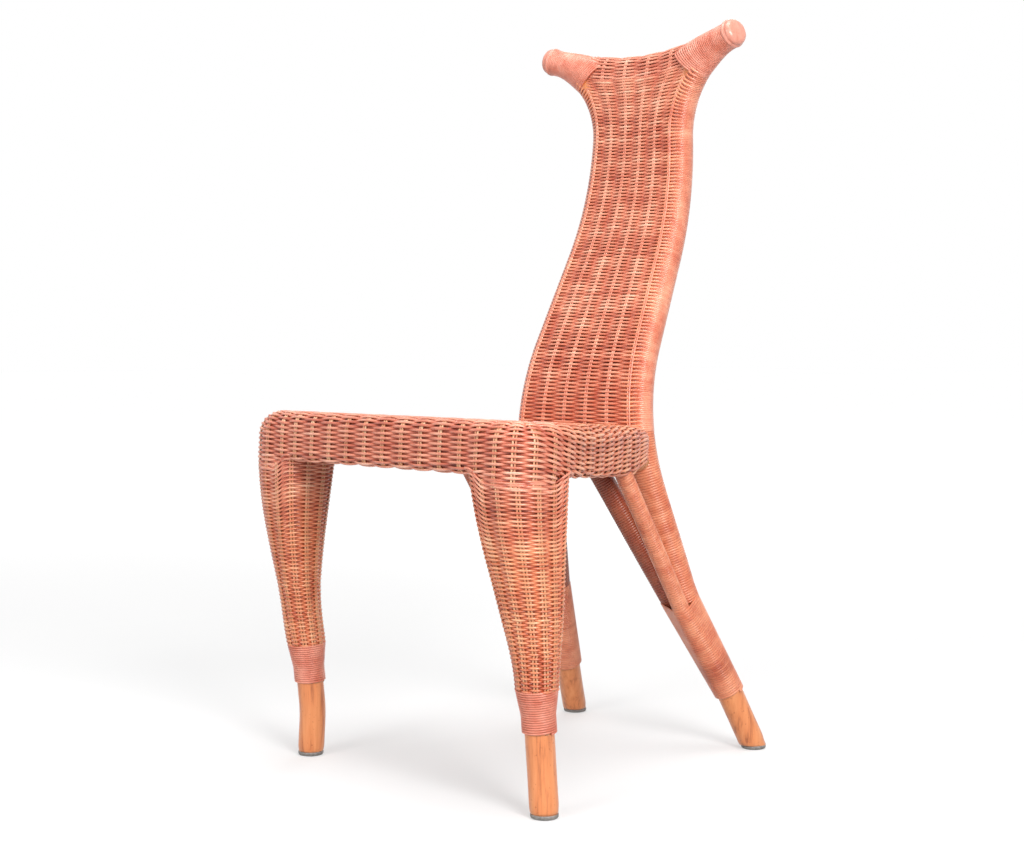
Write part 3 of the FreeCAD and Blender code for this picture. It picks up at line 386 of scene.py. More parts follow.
# Round reed woven by hand and lacquered, stained salmon and in places more orange
SALMON = [(0.0, "#742A14"), (0.3, "#B85C40"), (0.55, "#DA886C"), (0.8, "#EAA488"), (1.0, "#F4BEA4")]
ORANGE = [(0.0, "#742C12"), (0.3, "#BA5E38"), (0.55, "#DC845A"), (0.8, "#ECA074"), (1.0, "#F6BC90")]
WICKER = (cane("woven_rattan_reed_lacquered", SALMON, "#D69A86", 26.0, 0.36, 0.45, ORANGE), "wicker")
# Paler reed of the stakes in seat and legs, which took less stain
STAKES = (cane("rattan_stake_reed_pale", [(0.0, "#B87256"), (0.5, "#D8A47C"), (1.0, "#EED0AC")],
               "#DDB090", 30.0, 0.44, 0.2), "wicker")
# Fine split cane wound tightly on poles, smoother, pink on the horns and more orange on the rear legs
PINK_CANE = [(0.0, "#8A4230"), (0.25, "#C06C50"), (0.45, "#DC8C74"), (0.75, "#EAA28C"), (1.0, "#F4BCA8")]
TAN_CANE = [(0.0, "#7A3C28"), (0.25, "#B8623E"), (0.45, "#DA8860"), (0.75, "#E89C74"), (1.0, "#F2B692")]
WRAP = (cane("fine_split_cane_wound", PINK_CANE, "#DDA48C", 22.0, 0.4, 0.25, TAN_CANE), "fine_cane")
# Peeled poles of legs and posts, orange-tan with faint streaks
POLES = (pole_wood("rattan_pole_peeled_satin", "#E3935C", "#D8834E", "#A85C34", 7.0, 0.33), "pole_rattan")
# Turned ends of the horns, stained like the cane beside them
HORN_WOOD = (pole_wood("rattan_horn_end_turned_satin", "#DC9480", "#D28874", "#B4705C", 8.0, 0.3),
             "pole_rattan")
# Rails and bearers under the weave, left a little darker and duller
FRAME = (pole_wood("rattan_rail_plain", "#C98D60", "#B97C52", "#8F5836", 6.0, 0.5), "frame_rattan")
# Grey plastic glides, a little scuffed
GLIDE = (moulded("glide_plastic_moulded_grey", "#8F8A86", "#6A6662", 0.42, 0.0), "glide_grey")
# Screws out of sight in the frame
STEEL = (moulded("screw_steel_turned", "#B8B8BA", "#8E8E92", 0.3, 1.0), "screw_steel")
SLOT_LOOKS = {slot: material for material, slot in (WICKER, WRAP, FRAME, POLES, GLIDE, STEEL)}
# Painted shade: how much paler a weaver is painted in front of a stake than behind it, where it lies in the
# recess, on seat and legs and on the back
PAINTED_RECESS_SHADE, BACK_PAINTED_RECESS_SHADE = 0.24, 0.34

# Back: every row is a ring that weaves over six pairs of stakes in front, goes round a post,
# weaves over six pairs behind and goes round the other post
BACK_PITCH = 2.4
BACK_STAKES = 6
BACK_LOW, BACK_HIGH, BACK_CURVES_FROM = 427.0, 914.0, 730.0
BACK_WAVE, REAR_WAVE = 1.7, 0.8
BACK_TALL = 1.44
STAKE_PROUD, POST_DIP = 0.9, 1.2
# From the axis of a post to the middle of the weavers, on the post and on the walls
WOUND_OUT, WEAVE_OUT = POLE + 0.15 + STRAND, POLE + 1.7
WALL_END = (0, 416.7, 1011.0)
last_stake = BACK_STAKES - 1
post_line = bent_line(POST, POST_BENDS)
post_run = run_along(post_line[:, 1:])
run_low, run_high = np.interp([BACK_LOW, BACK_HIGH], post_line[:, 2], post_run)
back_rows = int((run_high - run_low) / BACK_PITCH)
row_runs = run_low + BACK_PITCH * np.arange(back_rows)
post_marks = np.interp(row_runs, post_run, np.arange(len(post_line)))
row_post = along(post_line, post_marks)
row_post_way = unit(along(ways(post_line), post_marks))
row_way = unit(row_post_way * np.array([0, 1, 1]))
# Between the posts the wall keeps straight on where the posts bend out into the horns
panel = bent_line([(0, y, z) for x, y, z in POST[2:5]] + [WALL_END], POST_BENDS[2:4])
panel_run = run_along(panel)
panel_run += run_low - np.interp(BACK_LOW, panel[:, 2], panel_run)
panel_marks = np.interp(row_runs, panel_run, np.arange(len(panel)))
row_panel = along(panel, panel_marks)
row_up = unit(along(ways(panel), panel_marks))
row_front = np.stack([np.zeros(back_rows), -row_up[:, 2], row_up[:, 1]], axis=1)
row_curve = soft_step(row_post[:, 2], BACK_CURVES_FROM, BACK_HIGH - BACK_CURVES_FROM)
row_half = row_post[:, 0]
toward = unit(-ACROSS + row_post_way * row_post_way[:, :1])
forward = np.cross(row_post_way, toward)


def crescent_rise(x):
    return RAIL_BEND - np.sqrt(RAIL_BEND ** 2 - np.clip(x, -200, 200) ** 2)


def wall_points(shares, lift):
    """Points of a wall of the back, at shares of the distance from post to post."""
    x = shares * row_half[:, None]
    rise = row_curve[:, None] * (crescent_rise(x) - crescent_rise(row_half)[:, None])
    return (row_panel[:, None] + x[..., None] * ACROSS
            + rise[..., None] * row_up[:, None] + lift[..., None] * row_front[:, None])


def post_points(hand, sweep, dips):
    """Points round a post, from its front by the outer side to its rear."""
    turn = np.array([hand, 1, 1])
    looks = around(sweep, (toward * turn)[:, None], (forward * turn)[:, None])
    return (row_post * turn)[:, None] + (WOUND_OUT - dips)[..., None] * looks


parity = np.arange(back_rows)
front_places = np.linspace(0, last_stake, 6 * last_stake + 1)
front_shares = 2 * front_places / last_stake - 1
# At the outermost stakes all rows lie on the post, with less wave left
calm = 1 - 0.3 * soft_step(np.abs(front_shares), 0.72, 0.28)
front_swing = weave_wave(front_places, parity)
rear_swing = weave_wave(front_places + BACK_STAKES, parity)
front_wall = wall_points(front_shares, WEAVE_OUT + BACK_WAVE * calm * front_swing)
rear_wall = wall_points(-front_shares, -WEAVE_OUT - REAR_WAVE * calm * rear_swing)
# Rows that come from behind the outermost stakes rise onto the post only slowly
SWEEP_FROM, SWEEP_TO, SWEEP_RISE = 104, 256, 50
sweep = np.linspace(SWEEP_FROM, SWEEP_TO, 15)
rising_on = 1 - soft_step(sweep, SWEEP_FROM, SWEEP_RISE)
sweep = np.radians(sweep)
dips = {hand: POST_DIP * np.where(parity % 2 == behind, 1.0, 0.0)[:, None] * rising_on
        for hand, behind in ((1, 0), (-1, 1))}
paths = np.concatenate([front_wall, post_points(1, sweep, dips[1]), rear_wall,
                        post_points(-1, sweep, dips[-1])[:, ::-1]], axis=1)
sizes = uneven(BACK_TALL * STRAND, back_rows)
tints = row_tints(back_rows, paths.shape[1], 1800, 560)
# Painted shade: a weaver is painted darker where it passes behind a stake, into the recess, and its tint is
# paler and more even on the posts
on_front, first_post, on_rear, other_post = np.split(
    np.arange(paths.shape[1]), np.cumsum([len(front_places), len(sweep), len(front_places)]))
tints[:, on_front] += BACK_PAINTED_RECESS_SHADE * front_swing * calm - 0.04
tints[:, on_rear] += BACK_PAINTED_RECESS_SHADE * rear_swing * calm
# Painted shade: where a row dips onto a post beside the outermost stake, its tint is painted darker, as dark
# dashes
for part, dip in ((first_post, dips[1]), (other_post, dips[-1][:, ::-1])):
    tints[:, part] = 0.66 + (tints[:, part] - 0.5) * 0.5 - 0.56 * dip / POST_DIP


def beside_post(points):
    """The stain is warmest on the front of the posts, beside the outermost stakes."""
    axis = np.interp(points[:, 2], post_line[:, 2], post_line[:, 0])
    return 0.25 + 0.7 * np.exp(-((np.abs(points[:, 0]) - axis - 4.0) / 8.0) ** 2)


half = back_rows // 2
for label, rows in (("lower", slice(half)), ("upper", slice(half, None))):
    mesh_piece("back_weavers_" + label, [strands(paths[rows], row_way[rows][:, None], sizes[rows],
                                                 tints[rows], closed=True, flat=1 / BACK_TALL)],
               WICKER, ("back_weave_front", "back_weave_rear", "back_post_weave_left",
                        "back_post_weave_right"), warm=beside_post)

# Rows above the posts' bend run on over the crescent rail and end under the horn bindings
ROLL_OUT = 16.2
RAIL_POINTS = 61
# Half lengths of the rows, by the level that they lie at near their ends
END_LEVELS, END_REACH, END_RISE = [884.0, 914.0, 940.0], [118.5, 98.5, 90.0], 7.0
top_middle = wall_points(np.zeros(1), np.zeros((back_rows, 1)))[-1, 0]
drop_start = RAIL_HEIGHT - top_middle[2] - BACK_PITCH
drops = np.linspace(drop_start, 0, int(drop_start / BACK_PITCH) + 1, endpoint=False)
leans = np.arange(0, 180.1, math.degrees(BACK_PITCH / ROLL_OUT))
lean_of_row = np.radians(np.concatenate([np.zeros(len(drops)), leans, np.full(len(drops), 180.0)]))
drop_of_row = np.concatenate([drops, np.zeros(len(leans)), drops[::-1]])
rail_rows = len(drop_of_row)
lowered = soft_step(drop_of_row / drop_start)
out_of_row = ROLL_OUT + (WEAVE_OUT - ROLL_OUT) * lowered
level_of_row = RAIL_HEIGHT + END_RISE - drop_of_row + out_of_row * np.sin(lean_of_row)
ends = np.interp(level_of_row, END_LEVELS, END_REACH)
rail_span = row_half[-1]
shares = np.linspace(-1, 1, RAIL_POINTS)
x = shares * ends[:, None]
swing = weave_wave((x / rail_span + 1) / 2 * last_stake, np.arange(rail_rows) + back_rows)
# The wave fades over the top, from that of the front wall to that of the rear one
rail_wave = BACK_WAVE + (REAR_WAVE - BACK_WAVE) * soft_step(lean_of_row / math.pi)


def on_rail(x, lean, drop, out):
    """Points round the crescent rail: lean turns from its front over the top to its rear."""
    tip = np.arcsin(x / RAIL_BEND)
    hub = np.stack([x, np.full_like(x, RAIL_BACK), RAIL_HEIGHT + crescent_rise(x)], axis=-1)
    rise = np.stack([-np.sin(tip), np.zeros_like(x), np.cos(tip)], axis=-1)
    radial = around(lean, np.array([0, -1.0, 0]), rise)
    return hub - drop[..., None] * rise + out[..., None] * radial, radial


# Behind, the ends of the lower rows lie deeper, under the horn bindings
REAR_TUCK, FRONT_LIFT = 3.5, 2.6
tucked = np.where(lean_of_row > math.pi / 2, REAR_TUCK, 0.0) * lowered
tuck = tucked[:, None] * soft_step(np.abs(shares), 0.82, 0.18)
# In front the rows under the bindings rise over the bend of the post instead
lifted = np.maximum(np.cos(lean_of_row), 0) ** 2 * (1 - soft_step(drop_of_row / drop_start, 0.5, 0.5))
over_post = FRONT_LIFT * lifted[:, None] * soft_step(np.abs(x), 66, 18)
paths, radial = on_rail(x, lean_of_row[:, None], drop_of_row[:, None],
                        out_of_row[:, None] + over_post - tuck + rail_wave[:, None] * swing)
sizes = uneven(STRAND, rail_rows)
tints = row_tints(rail_rows, RAIL_POINTS, 700, 190) + PAINTED_RECESS_SHADE * swing
mesh_piece("top_rail_weavers", [strands(paths, radial, sizes, tints, flat=BACK_TALL)],
           WICKER, ("top_rail_weave",))

# Stakes of the back, in pairs, over the top rail and down again; the outermost stay on the walls
OVER_POINTS = 24
groups = []
for index in range(BACK_STAKES):
    share = 2 * index / last_stake - 1
    for beside in (-STAKE, STAKE):
        shares = np.array([share + beside / row_half.mean()])
        up = wall_points(shares, np.full((back_rows, 1), WEAVE_OUT + STAKE_PROUD))[:, 0]
        down = wall_points(shares, np.full((back_rows, 1), -WEAVE_OUT - STAKE_PROUD / 2))[::-1, 0]
        if 0 < index < last_stake:
            over = on_rail(np.full(OVER_POINTS, share * rail_span + beside),
                           np.radians(np.linspace(0, 180, OVER_POINTS)), np.zeros(OVER_POINTS),
                           np.full(OVER_POINTS, ROLL_OUT + STAKE_PROUD))[0]
            lines = [np.vstack([up[::3], over, down[::3]])]
        else:
            lines = [up[::3], down[::3]]
        for line in lines:
            groups.append(strands(even(line, step=4.0)[None], ACROSS, STAKE, rng.uniform(0.58, 0.88, 1)))
mesh_piece("back_stakes", groups, WICKER)


# Seat
def on_seat(x, back, up):
    """Points given in the seat's own level: across, back from its front edge, and up from its top."""
    cos, sin = math.cos(SEAT_TILT), math.sin(SEAT_TILT)
    x, back, up = np.broadcast_arrays(x, back, up)
    return np.stack([x, SEAT_FRONT + back * cos + up * sin, SEAT_TOP - back * sin + up * cos], axis=-1)


def clear_of_posts(points, room):
    """Strands that meet a back post are led round it."""
    for hand in (1, -1):
        axis = np.stack([np.interp(points[..., 2], post_line[:, 2], values)
                         for values in (hand * post_line[:, 0], post_line[:, 1])], axis=-1)
        away = points[..., :2] - axis
        gap = np.linalg.norm(away, axis=-1, keepdims=True)
        pushed = axis + away / np.maximum(gap, 1e-6) * np.maximum(gap, room)
        points = np.concatenate([pushed, points[..., 2:]], axis=-1)
    return points


RING = 440
SEAT_BENDS = [20, 150, 38, 38, 150, 20]
seat_up = np.array([0, math.sin(SEAT_TILT), math.cos(SEAT_TILT)])
outline = bent_line([(0, SEAT_DEPTH, 0), (SEAT_REAR_HALF, SEAT_DEPTH, 0), (SEAT_HALF, SEAT_FLANK, 0),
                     (SEAT_HALF, 0, 0), (-SEAT_HALF, 0, 0), (-SEAT_HALF, SEAT_FLANK, 0),
                     (-SEAT_REAR_HALF, SEAT_DEPTH, 0), (0, SEAT_DEPTH, 0)], SEAT_BENDS)[:-1, :2]
outline = even(outline, count=RING, closed=True)
ring_way = unit(np.roll(outline, -1, axis=0) - np.roll(outline, 1, axis=0))
ring_out = np.stack([-ring_way[:, 1], ring_way[:, 0]], axis=1)
# How near each place on the edge is to a front corner, where the leg's weave runs on into the seat
LEG_REACH, LEG_FADE = 54, 30
corner_reach = np.minimum(np.hypot(outline[:, 0] - SEAT_HALF, outline[:, 1]),
                          np.hypot(outline[:, 0] + SEAT_HALF, outline[:, 1]))
on_leg = 1 - soft_step(corner_reach, LEG_REACH, LEG_FADE)
round_corner = 1 - soft_step(corner_reach, 8, 80)

EDGE_PITCH = 2.8
EDGE_STRAND, EDGE_BROAD = 1.38, 1.36
EDGE_WAVE, TOP_WAVE = 2.0, 1.4
ROW_ROOM, STAKE_ROOM = POLE + 4.6, POLE + 4.2
WALL = 3.3
LIP, LIP_RISE, LIP_RUN, UPPER_RUN = 7.0, 1.4, 14.5, 60.0
LEG_LAP = 6.5
roll = 18.3 + 12.0 * round_corner
# On the sides the rows sink towards the lower edge and rise again at the posts
SINK, SINK_FROM = 18.0, 30.0
side_share = np.clip((outline[:, 1] - SINK_FROM) / (SEAT_DEPTH - 2 * SINK_FROM), 0, 1)
side_share = side_share * (np.abs(outline[:, 0]) > SEAT_REAR_HALF - 8)
sink = SINK * np.sin(np.pi * side_share ** 0.8) ** 2
# Beside the posts the lower edge rises
rear_reach = np.hypot(np.abs(outline[:, 0]) - SEAT_REAR_HALF, outline[:, 1] - SEAT_DEPTH)
rear_lift = 12.0 * (1 - soft_step(rear_reach, 8, 62))


def edge_profile(run):
    """Inset and height on the seat's edge: under the lower lip, up the side and over onto the top."""
    bottom = -SEAT_THICK + LIP_RISE + rear_lift
    angle = np.radians(-30 + 120 * np.clip(run, 0, LIP_RUN) / LIP_RUN)
    under = np.clip(-run, 0, 12)
    inset = WALL + LIP * (1 - np.sin(angle)) * (1 - on_leg) + under * (1 - on_leg)
    height = bottom + LIP * (1 - np.cos(angle)) * (1 - on_leg) + (np.minimum(run, LIP_RUN) - LEG_LAP) * on_leg
    start = bottom + LIP * (1 - on_leg) + (LIP_RUN - LEG_LAP) * on_leg
    wall, bend = -roll - start, roll - WALL
    gone = np.clip((run - LIP_RUN) / UPPER_RUN, 0, 1) * (wall + bend * math.pi / 2)
    height = np.where(run > LIP_RUN, start + np.minimum(gone, wall), height)
    angle = np.maximum(gone - wall, 0) / bend
    inset = np.where(run > LIP_RUN, roll - bend * np.cos(angle), inset)
    height = height + np.where(run > LIP_RUN, bend * np.sin(angle), 0)
    # Round the corners the rows draw together
    return inset + np.maximum(run - LIP_RUN - UPPER_RUN, 0) * (1 - 0.85 * round_corner), height


EDGE_RUN, EDGE_UNDER = 90.0, 8.4
edge_rows = int((EDGE_RUN + EDGE_UNDER) / EDGE_PITCH)
# Stakes stand closer together on the legs, where they run on down the sleeves
EDGE_STAKES = 46
edge_length = np.linalg.norm(np.roll(outline, -1, axis=0) - outline, axis=1).sum()
STEPS_PAST, STAKES_PAST = np.array([0, 4.5, 9.5, 22]), np.array([0, 4.5, 10.5, 23])
STAKE_STEP = edge_length / (2 * STEPS_PAST[-1])
FROM_FRONT = STEPS_PAST * STAKE_STEP
from_front = (np.arange(RING) / RING - 0.5) * edge_length
edge_places = np.sign(from_front) * np.interp(np.abs(from_front), FROM_FRONT, STAKES_PAST) - 0.5


def edge_weave(runs, first):
    """Rows round the seat's edge at given runs of its profile: paths, normals, swing, insets, heights."""
    insets, heights = np.array([edge_profile(run - sink) for run in runs]).swapaxes(0, 1)
    lean_in, lean_up = np.gradient(insets, axis=0), np.gradient(heights, axis=0)
    length = np.maximum(np.hypot(lean_in, lean_up), 1e-6)
    out_share, up_share = lean_up / length, lean_in / length
    swing = weave_wave(edge_places, first + np.arange(len(runs)))
    # The wave is lower under the lip and at the rear
    reach = swing * EDGE_WAVE * (0.4 + 0.6 * soft_step(runs, -4.0, 10.0))[:, None]
    reach = reach * (1 - 0.5 * soft_step(outline[:, 1], SEAT_DEPTH - 60.0, 50.0))
    flat_points = outline[None] + (-insets + reach * out_share)[..., None] * ring_out[None]
    paths = on_seat(flat_points[..., 0], flat_points[..., 1], heights + reach * up_share)
    normals = (out_share[..., None] * np.concatenate([ring_out, np.zeros((RING, 1))], axis=1)[None]
               + up_share[..., None] * seat_up)
    return clear_of_posts(paths, ROW_ROOM), normals, swing, insets, heights


def seat_side(points):
    """The stain is warmer on the sides of the seat than in front."""
    return 0.9 * soft_step(points[:, 1], SEAT_FRONT + 50.0, 80.0)


paths, normals, swing, insets, heights = edge_weave(np.linspace(-EDGE_UNDER, EDGE_RUN, edge_rows), 0)
sizes = uneven(EDGE_STRAND, edge_rows)
tints = row_tints(edge_rows, RING, 700, 1500) + PAINTED_RECESS_SHADE * swing
mesh_piece("seat_edge_weavers", [strands(paths, normals, sizes, tints, closed=True, flat=EDGE_BROAD)],
           WICKER, ("seat_weave",), warm=seat_side)
# Short rows that pack the sides, where the others have sunk
pack_runs = EDGE_RUN + EDGE_PITCH * np.arange(1, int(SINK / EDGE_PITCH) + 1)
paths, normals, swing = edge_weave(pack_runs, edge_rows)[:3]
groups = []
for row, run in enumerate(pack_runs):
    for hand in (1, -1):
        chosen = np.where((sink > run - EDGE_RUN - EDGE_PITCH) & (outline[:, 0] * hand > 0))[0]
        if len(chosen) > 12:
            groups.append(strands(paths[row:row + 1, chosen], normals[row:row + 1, chosen], EDGE_STRAND,
                                  0.5 + PAINTED_RECESS_SHADE * swing[row:row + 1, chosen], flat=EDGE_BROAD))
mesh_piece("seat_side_packing", groups, WICKER, ("seat_weave",), warm=seat_side)
groups = []
for index in range(EDGE_STAKES):
    for beside in (-STAKE_APART, STAKE_APART):
        past = index + 0.5 - EDGE_STAKES / 2
        mark = np.sign(past) * np.interp(abs(past), STAKES_PAST, FROM_FRONT) / edge_length + 0.5
        spot = int(round(mark * RING)) % RING
        pale = 1.0 if outline[spot, 1] < 60 else 0.25
        flat = outline[spot] + ring_way[spot] * beside - (insets[:, spot, None] - 0.5) * ring_out[spot]
        line = clear_of_posts(on_seat(flat[:, 0], flat[:, 1], heights[:, spot]), STAKE_ROOM)
        groups.append(strands(line[None], np.append(ring_way[spot], 0.0), STAKE,
                              pale * rng.uniform(0.15, 0.8, 1)))
mesh_piece("seat_edge_stakes", groups, STAKES)

# Top of the seat: rows from side to side over stakes that run on from those of the front edge
TOP_FRONT, TOP_INSET = 31.0, 27.0
TOP_DOWN = WALL + 0.8
TOP_POINTS, TOP_STAKE_POINTS = 97, 60
TOP_STAKES = 14
right_side = outline[outline[:, 0] > 0]
right_side = right_side[np.argsort(right_side[:, 1])]
backs = np.arange(TOP_FRONT, SEAT_DEPTH - TOP_INSET, EDGE_PITCH)
top_rows = len(backs)
ends = np.interp(backs, right_side[:, 1], right_side[:, 0]) - TOP_INSET
across = np.linspace(-1, 1, TOP_POINTS)[None] * ends[:, None]
swing = weave_wave(across / STAKE_STEP - 0.5, np.arange(top_rows))
paths = clear_of_posts(on_seat(across, backs[:, None], TOP_WAVE * swing - TOP_DOWN), ROW_ROOM)
sizes = uneven(EDGE_STRAND, top_rows)
tints = row_tints(top_rows, TOP_POINTS, 900, 440) + PAINTED_RECESS_SHADE * swing
mesh_piece("seat_top_weavers", [strands(paths, seat_up, sizes, tints, flat=EDGE_BROAD)],
           WICKER, ("seat_weave",))
groups = []
for index in range(TOP_STAKES):
    for beside in (-STAKE, STAKE):
        middle = (index + 0.5 - TOP_STAKES / 2) * STAKE_STEP + beside
        reach = backs[ends > abs(middle) + 2]
        back = np.linspace(reach[0], reach[-1], TOP_STAKE_POINTS)
        line = clear_of_posts(on_seat(middle, back, -TOP_DOWN), STAKE_ROOM)
        groups.append(strands(line[None], ACROSS, STAKE, rng.uniform(0.2, 0.8, 1)))
mesh_piece("seat_top_stakes", groups, STAKES)

# Front leg sleeves: rings of weave on twelve pairs of stakes, square under the seat and round at the ankle
front_line = bent_line(FRONT_POLE, FRONT_BENDS)
shin_foot = np.array(FRONT_POLE[1], float)
shin_way = unit(np.array(FRONT_POLE[2]) - shin_foot)


def shin_point(height):
    return shin_foot + shin_way * ((height - shin_foot[2]) / shin_way[2])


# The sleeve's middle and half width at four heights
SLEEVE = [(*shin_point(145.0), 25.5), (215.5, -21.0, 250.0, 33.5),
          (209.5, -28.2, 335.0, 42.0), (205.0, -29.2, 407.0, 47.0)]
sleeve_x, sleeve_y, sleeve_levels, sleeve_sizes = np.array(SLEEVE).T
sleeve_fit = [np.polyfit(sleeve_levels, values, 3) for values in (sleeve_x, sleeve_y, sleeve_sizes)]
SLEEVE_PITCH = 2.6
SLEEVE_RING, SLEEVE_STAKES = 120, 12
SLEEVE_TUCK = 7.0
SLEEVE_LOW, SLEEVE_HIGH = 149.0, 393.0 + SLEEVE_TUCK
SLEEVE_STRAND, SLEEVE_WAVE = 1.48, 1.65
FILLET, FILLET_HIGH = 12.0, 14
TIGHT_CORNER, WIDE_CORNER = 16.0, 34.0


def rounded_square(half, tight, wide, count):
    """A level square with opposite corners rounded alike, from the middle of its outer rear corner."""
    line = []
    for quarter in range(4):
        radius = tight if quarter % 2 == 0 else wide
        turn = math.pi / 2 * quarter
        for angle in np.radians(np.linspace(0, 90, 14)):
            x = half - radius + radius * math.cos(angle)
            y = half - radius + radius * math.sin(angle)
            line.append([x * math.cos(turn) - y * math.sin(turn), x * math.sin(turn) + y * math.cos(turn)])
    fine = even(line, count=1200, closed=True)
    start = int(np.argmax(fine.sum(axis=1)))
    return even(np.roll(fine, -start, axis=0), count=count, closed=True)


levels = np.arange(SLEEVE_LOW, SLEEVE_HIGH, SLEEVE_PITCH)
sleeve_rows = len(levels)
rings, outs = [], []
for level in levels:
    x, y, size = [np.polyval(fit, level) for fit in sleeve_fit]
    size -= WALL
    square = soft_step(level, 150, 90)
    rounded = size * 0.94
    ring = rounded_square(size, rounded + (TIGHT_CORNER - rounded) * square,
                          rounded + (WIDE_CORNER - rounded) * square, SLEEVE_RING)
    way = unit(np.roll(ring, -1, axis=0) - np.roll(ring, 1, axis=0))
    out = np.stack([way[:, 1], -way[:, 0]], axis=1)
    # The weave spreads into a small fillet under the seat, mostly on the inner side
    up_fillet = max(0.0, (level - SLEEVE_HIGH + FILLET_HIGH) / FILLET_HIGH)
    spread = FILLET * (1 - math.sqrt(max(0.0, 1 - up_fillet ** 2)))
    inner = np.clip(-out[:, 0], 0, 1) + 0.4 * np.clip(out[:, 1], 0, 1)
    ring = ring + out * (spread * np.clip(inner, 0, 1))[:, None]
    # Towards the top the rows tilt with the seat, and on the outer sides sink to meet its edge
    outer = np.clip(np.clip(out[:, 0], 0, 1) + np.clip(-out[:, 1], 0, 1), 0, 1)
    tilt = -math.tan(SEAT_TILT) * ring[:, 1] * soft_step(level, 200, 190)
    reach = np.hypot(ring[:, 0] + x - SEAT_HALF, ring[:, 1] + y - SEAT_FRONT)
    meeting = outer * (1 - soft_step(reach, LEG_REACH, LEG_FADE)) * soft_step(level, 250, 140)
    tilt = tilt - (LEG_LAP + SLEEVE_TUCK) * meeting
    rings.append(np.column_stack([ring[:, 0] + x, ring[:, 1] + y, level + tilt]))
    outs.append(np.column_stack([out, np.zeros(SLEEVE_RING)]))
rings, outs = np.array(rings), np.array(outs)
swing = weave_wave(np.arange(SLEEVE_RING) / SLEEVE_RING * SLEEVE_STAKES, np.arange(sleeve_rows))
paths = rings + (SLEEVE_WAVE * swing)[..., None] * outs

ANKLE_LOW, ANKLE_HIGH, ANKLE_TURNS = 98.0, 151.0, 18
ANKLE_END, ANKLE_STEPS, ANKLE_REED = 1.3, 26, 1.38
STAKE_SUNK = 0.9
ankle_axis = even([shin_point(ANKLE_LOW + ANKLE_END), shin_point(ANKLE_HIGH - ANKLE_END)], step=1.0)
ankle_pitch = (ANKLE_HIGH - ANKLE_LOW - 2 * ANKLE_END) / shin_way[2] / ANKLE_TURNS


def ankle_radius(share):
    """Outside of the gathered stakes, straight on the pole at first and then flaring to the sleeve."""
    return POLE + STAKE_SUNK + 4.8 * np.clip((share - 0.4) / 0.6, 0, 1)


def down_leg(points):
    """The stain turns more orange further down the leg."""
    return np.clip((390.0 - points[:, 2]) / 90.0, 0, 1)


for side, mirror in HANDS:
    tints = row_tints(sleeve_rows, SLEEVE_RING, 1500, 280) + PAINTED_RECESS_SHADE * swing
    weave = strands(paths, UP, uneven(SLEEVE_STRAND, sleeve_rows), tints, closed=True, flat=0.9)
    mesh_piece("front_leg_weavers_" + side, [weave], WICKER, ("front_leg_weave_" + side,), mirror,
               warm=down_leg)
    groups = []
    for index in range(SLEEVE_STAKES):
        spot = int(round(index / SLEEVE_STAKES * SLEEVE_RING)) % SLEEVE_RING
        angle = math.atan2(outs[0, spot, 1], outs[0, spot, 0])
        for beside in (-1.0, 1.0):
            line = rings[:, spot] + beside * STAKE_APART * np.cross(UP, outs[:, spot]) + 0.6 * outs[:, spot]
            turn = angle + beside * STAKE / 18.0
            look = np.array([math.cos(turn), math.sin(turn), 0])
            foot = [shin_point(ANKLE_LOW + (ANKLE_HIGH - ANKLE_LOW) * share)
                    + (ankle_radius(share) - STAKE_SUNK) * look for share in np.linspace(0, 0.95, 12)]
            line = even(np.vstack([np.array(foot), line]), count=90)
            groups.append(strands(line[None], np.append(outs[60, spot, :2], 0), STAKE,
                                  rng.uniform(0.1, 0.65, 1)))
    mesh_piece("front_leg_stakes_" + side, groups, STAKES, ("front_ankle_stakes_" + side,), mirror)
    line, out = helix(ankle_axis, lambda share: ankle_radius(share) + STAKE, ankle_pitch, ANKLE_STEPS)
    mesh_piece("ankle_reed_" + side, [strands(line, out, ANKLE_REED, turn_tints(line.shape[1], ANKLE_STEPS))],
               WRAP, ("front_ankle_binding_" + side,), mirror)

# Rear posts and braces wound with fine cane, and the cuff that gathers them
WRAP_PITCH = 3.3
WRAP_HALF, WRAP_FLAT = 1.95, 0.6
POST_WRAP, BRACE_WRAP, CUFF_WRAP = 1.35, 1.3, 1.9
POST_STEPS, BRACE_STEPS, CUFF_STEPS = 14, 12, 48
BRACE_WOUND = 0.92
# Painted shade: the cane on the inner braces, in the shade under the seat, is painted darker
PAINTED_BRACE_SHADE = {"side": 1.0, "inner": 0.22}
leg_foot = np.array(POST[1], float)
# The way of the straight run of the post that the cuff binds
leg_way = unit(np.array([-0.15505, -0.45827, 0.87519]))
leg_side, leg_ahead = square_to(leg_way, (0, 1, 0))


def leg_point(height):
    return leg_foot + leg_way * ((height - leg_foot[2]) / leg_way[2])


def rear_leg(points):
    """The stain on the rear legs is more orange than on the horns."""
    return np.full(len(points), 0.85)


cuff_low, cuff_top = leg_point(CUFF_LOW), leg_point(CUFF_HIGH)
brace_places = []
for top, low, radius in BRACES.values():
    way = unit(low - top)
    offset = top + way * (((cuff_top - top) @ leg_way) / (way @ leg_way)) - cuff_top
    brace_places.append((np.array([offset @ leg_side, offset @ leg_ahead]), radius))


def taut_ring(share):
    """A band drawn tight round the post and both braces, at a share of the cuff's height."""
    circles = [(np.zeros(2), POLE + CUFF_WRAP)]
    for offset, radius in brace_places:
        # Towards the foot the braces are drawn into the post
        grown = radius + (POLE - radius) * 0.98 * (1 - share)
        circles.append((offset * (0.05 + 0.95 * share), grown + CUFF_WRAP))
    angle = np.linspace(0, 2 * np.pi, 181)[:-1]
    looks = np.stack([np.cos(angle), np.sin(angle)], axis=1)
    reach = np.stack([looks @ centre + radius for centre, radius in circles])
    which = np.argmax(reach, axis=0)
    line = np.array([circles[w][0] + circles[w][1] * look for w, look in zip(which, looks)])
    return even(line, count=CUFF_STEPS, closed=True)


